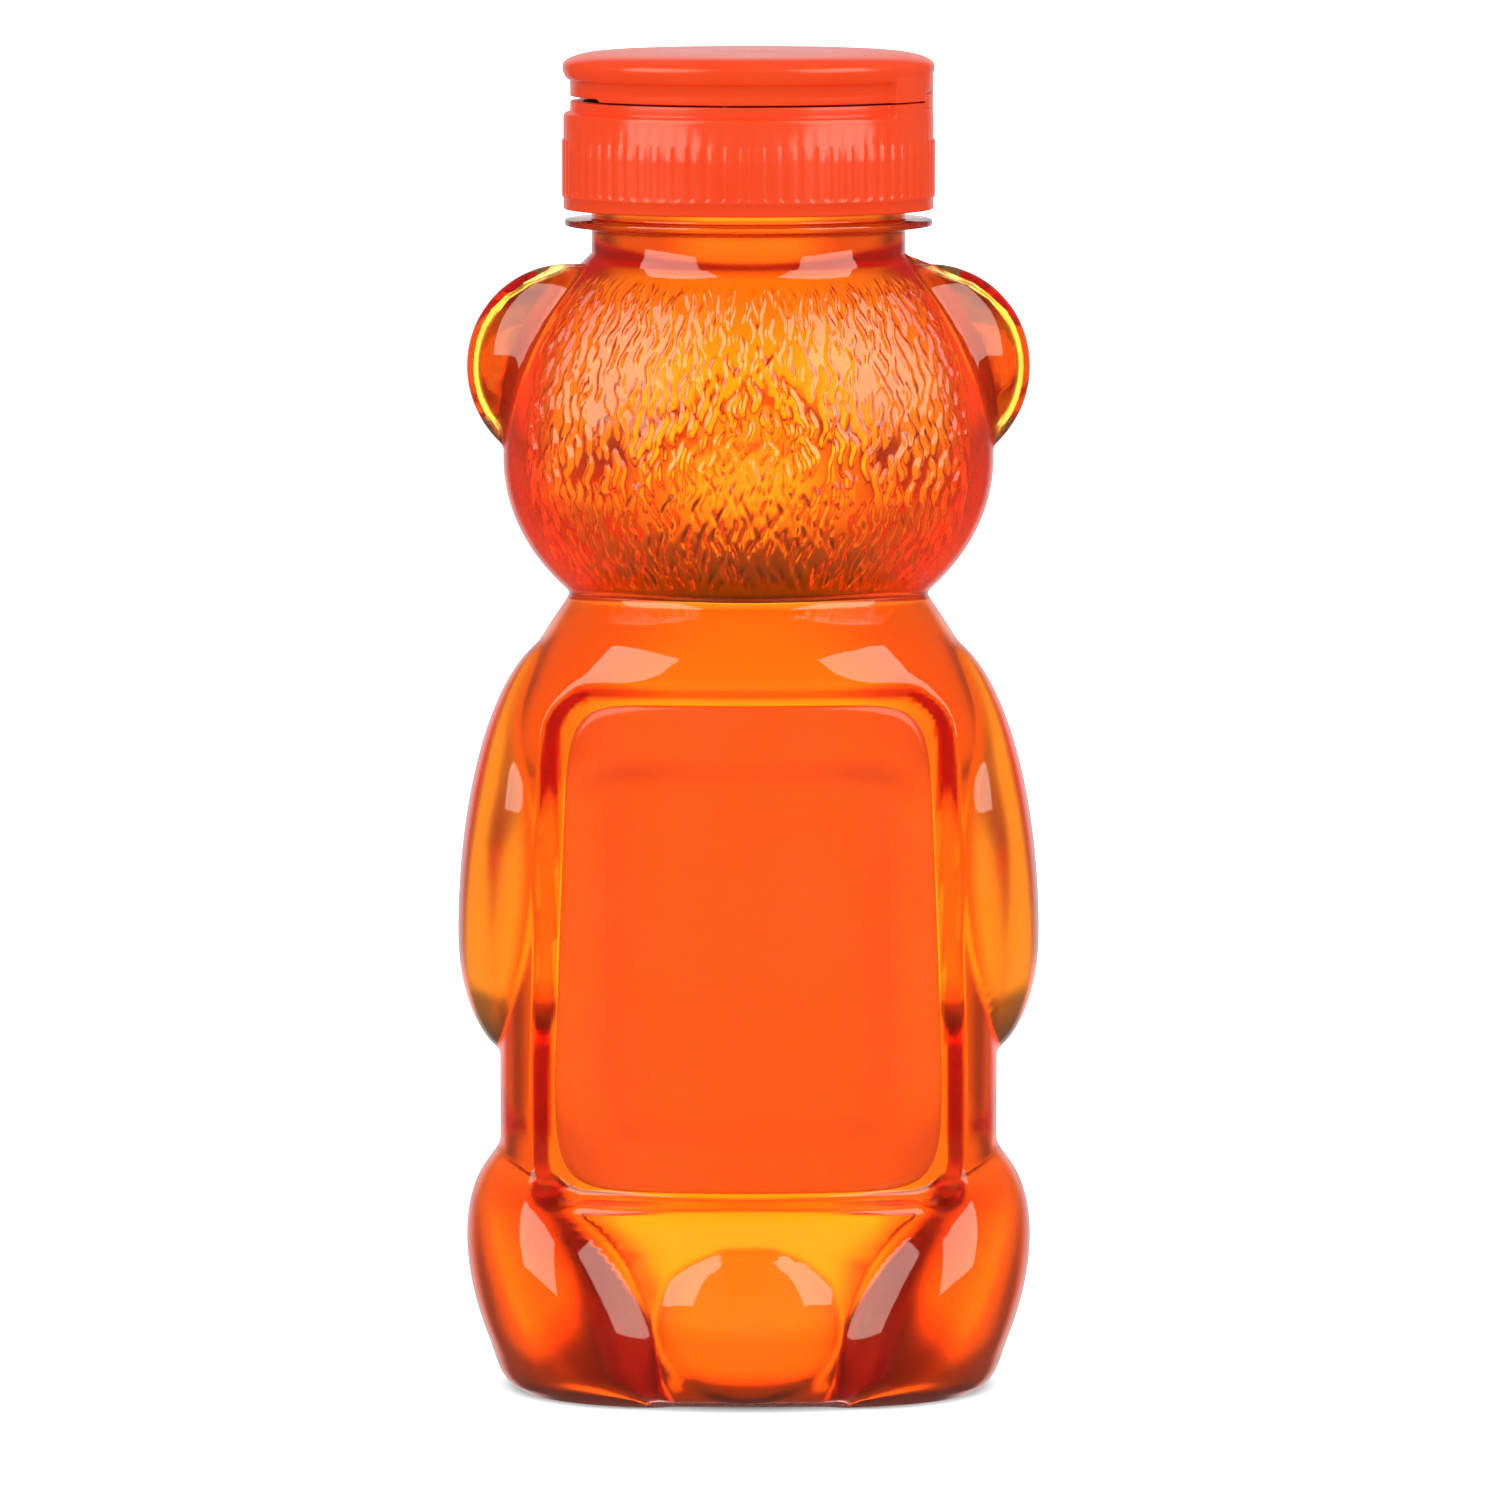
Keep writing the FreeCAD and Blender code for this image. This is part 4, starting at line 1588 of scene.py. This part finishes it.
        outer = (radius > self.collar_radius - 0.05) & (height > self.deck_top - self.shoulder_round - 0.01)
        radius = self.seat_hinge(radius, angle, outer, height > self.web_bottom - 0.03)
        stack = RingStack()
        stack.add(around(radius, angle, height))
        return stack.build("closure_screw_base", [material], looped=True)

    def build_lid(self, material: Material) -> Piece:
        """Make the lid as one profile turned about Z, with the boss, the rebate and the thumb notch.

        The rim is a quarter ellipse below and a wider one above.

        Args:
            material: The closure's plastic.

        Returns:
            The lid's object.
        """
        angle = full_circle(self.lid_columns)[None]
        ceiling = self.lid_top - self.lid_thickness
        plug_bottom = self.spout_top - self.plug_depth
        below = rounded_profile([
            (0.4, ceiling, 0), (self.plug_bore, ceiling, 0.2), (self.plug_bore, plug_bottom, 0.2),
            (self.plug_radius, plug_bottom, 0.3), (self.plug_radius, ceiling, 0.2),
            (self.collar_bore, ceiling, 0.8), (self.collar_bore, self.lid_bottom, 0.15),
            (self.collar_radius, self.lid_bottom, 0.15), (self.collar_radius, self.web_top, 0),
            (self.collar_radius, self.web_top + 0.06, 0),
        ])
        rim_half = self.rim_height / 2
        rim_middle = self.lid_top - rim_half
        rim_over = self.collar_radius + self.rim_proud - self.crown_radius
        turn = np.linspace(-math.pi / 2, 0, 9)
        under = np.stack([self.collar_radius + self.rim_proud * np.cos(turn),
                          rim_middle + rim_half * np.sin(turn)], axis=1)
        turn = np.linspace(0, math.pi / 2, 17)[1:]
        over = np.stack([self.crown_radius + rim_over * np.cos(turn),
                         rim_middle + rim_half * np.sin(turn)], axis=1)
        crown = np.array([(ring, self.lid_top) for ring in self.crown_rings])
        profile = np.concatenate([below, under, over, crown])
        radius, height = profile[:, :1] + 0 * angle, profile[:, 1:] + 0 * angle
        outer = (radius > self.collar_radius - 0.2) & (height < rim_middle)
        radius = self.seat_hinge(radius, angle, outer, height < self.web_top + 0.03)
        notch = self.window(angle, self.thumb_side, self.notch_angle) * (radius > self.collar_bore - 0.2)
        lifted = np.maximum(height, self.lid_bottom + self.notch_height)
        height = height + notch * (lifted - height)
        stack = RingStack()
        stack.pole(ceiling)
        stack.add(around(radius, angle, height))
        stack.pole(self.lid_top)
        return stack.build("closure_flip_lid", [material])

    def build_web(self, material: Material) -> Piece:
        """Make the hinge web: a rounded rectangle carried along an arc about Z, closed at both ends.

        Args:
            material: The closure's plastic.

        Returns:
            The web's object.
        """
        outer, inner = self.boss_radius, self.boss_radius - self.web_thickness
        low, high, edge = self.web_bottom, self.web_top, self.web_edge
        side = np.linspace(low + self.web_round, high - self.web_round, self.web_rows)
        outline = np.concatenate([
            np.stack([np.full(self.web_rows, outer), side], axis=1),
            [[outer - edge, high], [inner + edge, high]],
            np.stack([np.full(self.web_rows, inner), side[::-1]], axis=1),
            [[inner + edge, low], [outer - edge, low]],
        ])
        first, last = self.hinge_side - self.web_angle, self.hinge_side + self.web_angle
        turn = np.radians(np.linspace(first, last, self.web_columns))[:, None]
        rings = around(outline[None, :, 0], turn, outline[None, :, 1])
        count = len(outline)
        points = rings.reshape(-1, 3)
        row = np.arange(len(rings) - 1)[:, None] * count
        start = row + np.arange(count)[None]
        step = row + (np.arange(count)[None] + 1) % count
        quads = np.stack([start, step, step + count, start + count], axis=-1).reshape(-1, 4)
        ends = [list(range(count)), list(range(len(points) - count, len(points)))]
        piece = mesh_object("closure_hinge_web", points, quads.tolist() + ends, [material])
        turn_outward(piece)
        return piece


@dataclass
class BackLabel:
    """Bare film on the floor of the back panel."""

    thickness: float = 0.12
    lift: float = 0.03
    margin: float = 0.2
    corner_power: float = 9.0
    columns: int = 160
    rings: int = 31

    def build(self, bear: Bear, surface: MouldedSurface) -> Piece:
        """Make the film: a rounded rectangle of rays, laid on the panel's cylinder.

        Args:
            bear: The bear that carries it.
            surface: The shared surface group.

        Returns:
            The film's object.
        """
        panel = bear.back_panel
        low, high = panel.bottom + panel.ledge + self.margin, panel.top - panel.scoop - self.margin
        middle, tall = (low + high) / 2, (high - low) / 2
        wide = panel.half_width - panel.edge - self.margin
        turn = full_circle(self.columns)
        edge = superellipse_reach(turn, wide, tall, self.corner_power)
        share = np.linspace(0.0, 1.0, self.rings)[1:, None]
        across, up = share * edge * np.cos(turn), middle + share * edge * np.sin(turn)
        across = across * (1 - panel.taper(up) * (panel.half_width - panel.top_half_width) / wide)
        centre = bear.trunk_half_depth - panel.depth - panel.bow
        near = panel.bow + self.lift
        far = near + self.thickness
        under, over = [np.stack([across, centre + np.sqrt(radius ** 2 - across ** 2), up], axis=-1)
                       for radius in (near, far)]
        stack = RingStack()
        stack.add(np.array([[[0.0, centre + near, middle]]]))
        stack.add(under)
        stack.add(over[::-1])
        stack.add(np.array([[[0.0, centre + far, middle]]]))
        piece = stack.build("back_label_film", [LabelFilm().material(surface)])
        turn_outward(piece)
        return piece


@dataclass
class Studio:
    """Camera, floor, lamps and surroundings."""

    eye: Point = (-0.000165, 1.655, 0.2115)
    target: Point = (-0.000165, 0.0, 0.0702)
    lens: float = 361.7
    far_clip: float = 50.0
    floor_half: float = 8.0
    floor_tint: Colour = (0.86, 0.86, 0.86, 1.0)
    floor_dim: Colour = (0.75, 0.75, 0.75, 1.0)
    floor_lift: float = 0.16
    shade_radius: float = 0.024
    white_radius: float = 0.031
    fill: float = 1.5
    levels: tuple[Pair, ...] = (
        (-0.75, 0.9), (-0.5, 2.2), (-0.3, 4.0), (0.0, 4.8), (0.08, 2.8), (0.17, 0.5), (0.5, 0.15))
    side_turn: Pair = (0.15, 0.42)
    aside: float = 1.7
    flag: float = 0.45
    flag_turn: Pair = (0.66, 0.82)
    table_rise: Pair = (-0.5, -0.3)
    rim: float = 1.6
    rim_turn: Pair = (0.8, 0.93)
    gloss_back: float = 0.8
    gloss_front: float = 0.12
    gloss_way: Pair = (-0.97, -0.85)
    lamp_azimuth: float = 60.0
    lamp_rise: float = 31.0
    lamp_distance: float = 1.0
    lamp_aim: Point = (0.0, 0.0, 0.09)
    lamp_size: Pair = (0.85, 1.0)
    lamp_power: float = 13.0
    lamp_tint: Point = (1.0, 0.94, 0.8)
    bounces: int = 48
    glossy_bounces: int = 12

    def camera(self) -> None:
        """Make the camera at the photograph's viewpoint."""
        data = bpy.data.cameras.new("photo_camera")
        data.lens = self.lens
        data.clip_end = self.far_clip
        camera = bpy.data.objects.new("photo_camera", data)
        camera.location = self.eye
        camera.rotation_euler = (Vector(self.target) - Vector(self.eye)).to_track_quat("-Z", "Y").to_euler()
        bpy.context.scene.collection.objects.link(camera)
        bpy.context.scene.camera = camera

    @staticmethod
    def turned(tree: NodeTree, x: Socket, y: Socket) -> Socket:
        """Sine of the turn from the line of sight, |x| / hypot(x, y).

        Args:
            tree: Nodes to add to.
            x: Socket with the way along X.
            y: Socket with the way along Y.

        Returns:
            The socket with the sine.
        """
        squares = [tree.combined("MULTIPLY", way, way) for way in (x, y)]
        total = tree.combined("MAXIMUM", tree.combined("ADD", *squares), 0.0001)
        return tree.combined("DIVIDE", tree.combined("ABSOLUTE", x), tree.combined("SQRT", total))

    def behind(self, tree: NodeTree, x: Socket, y: Socket, z: Socket) -> Socket:
        """Light that clear things pass on: a lit table and a backdrop, with dim sides and dark flags.

        In the middle it follows the levels over z. Aside it is one dim level, which falls to the flags
        and rises again at the edge of the view.

        Args:
            tree: Nodes to add to.
            x: Socket with the way along X.
            y: Socket with the way along Y.
            z: Socket with the way along Z.

        Returns:
            The socket with the strength.
        """
        ramp = tree.add("ShaderNodeValToRGB")
        ramp.color_ramp.interpolation = "EASE"
        stops = ramp.color_ramp.elements
        while len(stops) < len(self.levels):
            stops.new(0.5)
        for stop, (way, level) in zip(stops, self.levels):
            stop.position = (way + 1) / 2
            stop.color = (level, level, level, 1.0)
        tree.join(tree.combined("MULTIPLY_ADD", z, 0.5, 0.5), ramp.inputs["Fac"])
        middle = ramp.outputs["Color"]
        turned = self.turned(tree, x, y)
        dim = tree.eased(turned, self.flag_turn, (self.aside, self.flag))
        table = tree.eased(z, self.table_rise, (self.aside, 0.0))
        dim = tree.combined("MINIMUM", middle, tree.combined("MAXIMUM", dim, table))
        edge = tree.eased(turned, self.rim_turn, (0.0, self.rim))
        share = tree.eased(turned, self.side_turn, (0.0, 1.0))
        return tree.mixed(share, middle, tree.combined("MAXIMUM", dim, edge))

    def floor(self) -> None:
        """Make a pale floor that is white all round and keeps the shadow near the bottle, where its glow
        fades in a disc: real shadow with painted shade.
        """
        half = self.floor_half
        mesh = bpy.data.meshes.new("studio_floor")
        corners = [(-half, -half, 0.0), (half, -half, 0.0), (half, half, 0.0), (-half, half, 0.0)]
        mesh.from_pydata(corners, [], [(0, 1, 2, 3)])
        floor = bpy.data.objects.new("studio_floor", mesh)
        material = bpy.data.materials.new("pale_floor")
        tree = NodeTree.emptied(material)
        matt = tree.add("ShaderNodeBsdfDiffuse")
        glow = tree.add("ShaderNodeEmission")
        both = tree.add("ShaderNodeAddShader")
        output = tree.add("ShaderNodeOutputMaterial")
        place = tree.add("ShaderNodeTexCoord")
        seen = tree.add("ShaderNodeLightPath").outputs["Is Camera Ray"]
        length = tree.add("ShaderNodeVectorMath", operation="LENGTH")
        tree.join(place.outputs["Object"], length.inputs[0])
        # The camera's glow fades from white to floor_lift in a disc round the bottle: painted shade there,
        # added to the real shadow.
        limits = (self.shade_radius, self.white_radius)
        level = tree.eased(length.outputs["Value"], limits, (self.floor_lift, 1.0))
        tree.join(tree.mixed(seen, self.floor_dim, self.floor_tint, "RGBA"), matt.inputs["Color"])
        tree.join(tree.combined("MULTIPLY", seen, level), glow.inputs["Strength"])
        tree.join(matt.outputs[0], both.inputs[0])
        tree.join(glow.outputs[0], both.inputs[1])
        tree.join(both.outputs[0], output.inputs["Surface"])
        mesh.materials.append(material)
        floor.visible_glossy = False
        floor.visible_transmission = False
        bpy.context.scene.collection.objects.link(floor)

    def surroundings(self) -> None:
        """Own surroundings for what clear things pass on and for gloss, and one grey for the rest."""
        world = bpy.data.worlds.new("studio_world")
        bpy.context.scene.world = world
        tree = NodeTree.emptied(world)
        light = tree.add("ShaderNodeBackground")
        output = tree.add("ShaderNodeOutputWorld")
        path = tree.add("ShaderNodeLightPath")
        place = tree.add("ShaderNodeTexCoord")
        axes = tree.add("ShaderNodeSeparateXYZ")
        tree.join(place.outputs["Generated"], axes.inputs[0])
        x, y, z = axes.outputs
        passed = self.behind(tree, x, y, z)
        gloss = tree.eased(y, self.gloss_way, (self.gloss_back, self.gloss_front))
        shiny = tree.mixed(path.outputs["Is Glossy Ray"], self.fill, gloss)
        strength = tree.mixed(path.outputs["Is Transmission Ray"], shiny, passed)
        strength = tree.combined("MAXIMUM", strength, path.outputs["Is Camera Ray"])
        tree.join(strength, light.inputs["Strength"])
        tree.join(light.outputs[0], output.inputs["Surface"])

    def softbox(self, name: str, side: int) -> None:
        """Add a rectangular lamp that faces the bottle.

        Args:
            name: Name of the lamp.
            side: 1 for the +X side, -1 for the -X side.
        """
        turn, rise = math.radians(self.lamp_azimuth), math.radians(self.lamp_rise)
        data = bpy.data.lights.new(name, "AREA")
        data.shape = "RECTANGLE"
        data.size, data.size_y = self.lamp_size
        data.energy = self.lamp_power
        data.color = self.lamp_tint
        lamp = bpy.data.objects.new(name, data)
        level = math.cos(rise)
        way = Vector((side * math.sin(turn) * level, math.cos(turn) * level, math.sin(rise)))
        lamp.location = Vector(self.lamp_aim) + way * self.lamp_distance
        lamp.rotation_euler = (-way).to_track_quat("-Z", "Y").to_euler()
        lamp.visible_camera = False
        lamp.visible_diffuse = False
        bpy.context.scene.collection.objects.link(lamp)

    def build(self) -> None:
        """Set up the whole stage."""
        scene = bpy.context.scene
        scene.view_settings.view_transform = "Standard"
        scene.cycles.max_bounces = self.bounces
        scene.cycles.transmission_bounces = self.bounces
        scene.cycles.glossy_bounces = self.glossy_bounces
        scene.cycles.caustics_reflective = False
        scene.cycles.caustics_refractive = False
        self.camera()
        self.floor()
        self.surroundings()
        self.softbox("softbox_left", 1)
        self.softbox("softbox_right", -1)


def dress(piece: Piece, body: str, slot: str, *nodes: str) -> None:
    """Let a piece ride on a body in place of CAD nodes.

    Args:
        piece: The piece.
        body: Body that it moves with.
        slot: Material slot of the record. It is not used.
        nodes: CAD nodes that it stands for.
    """
    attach(piece, body)
    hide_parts(*nodes)
    LOG.info("%s: %d faces on %s", piece.name, len(piece.data.polygons), body)


def main() -> None:
    """Build the bottle, the closure and the studio around the frame."""
    logging.basicConfig(level=logging.INFO, format="%(message)s")
    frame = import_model()
    surface = MouldedSurface()
    bear = Bear()
    dress(bear.build_bottle(surface), "bottle", "clear_pet", "bottle", "neck_finish")
    dress(bear.build_honey(), "bottle", "honey", "honey")
    dress(BackLabel().build(bear, surface), "bottle", "label_film", "back_label")
    closure = Closure()
    orange = OrangePlastic().material(surface)
    dress(closure.build_base(orange), "closure", "closure_plastic", "closure_base")
    dress(closure.build_lid(orange), "lid", "closure_plastic", "flip_lid")
    web = closure.build_web(orange)
    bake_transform(web)
    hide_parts("living_hinge")
    LOG.info("%s: %d faces between closure and lid", web.name, len(web.data.polygons))
    liner = frame["nodes"]["seal_liner"]
    liner.data.materials.clear()
    liner.data.materials.append(LinerFoam().material(surface))
    LOG.info("%s: %d faces, the solid itself", liner.name, len(liner.data.polygons))
    Studio().build()


if __name__ == "__main__":
    main()
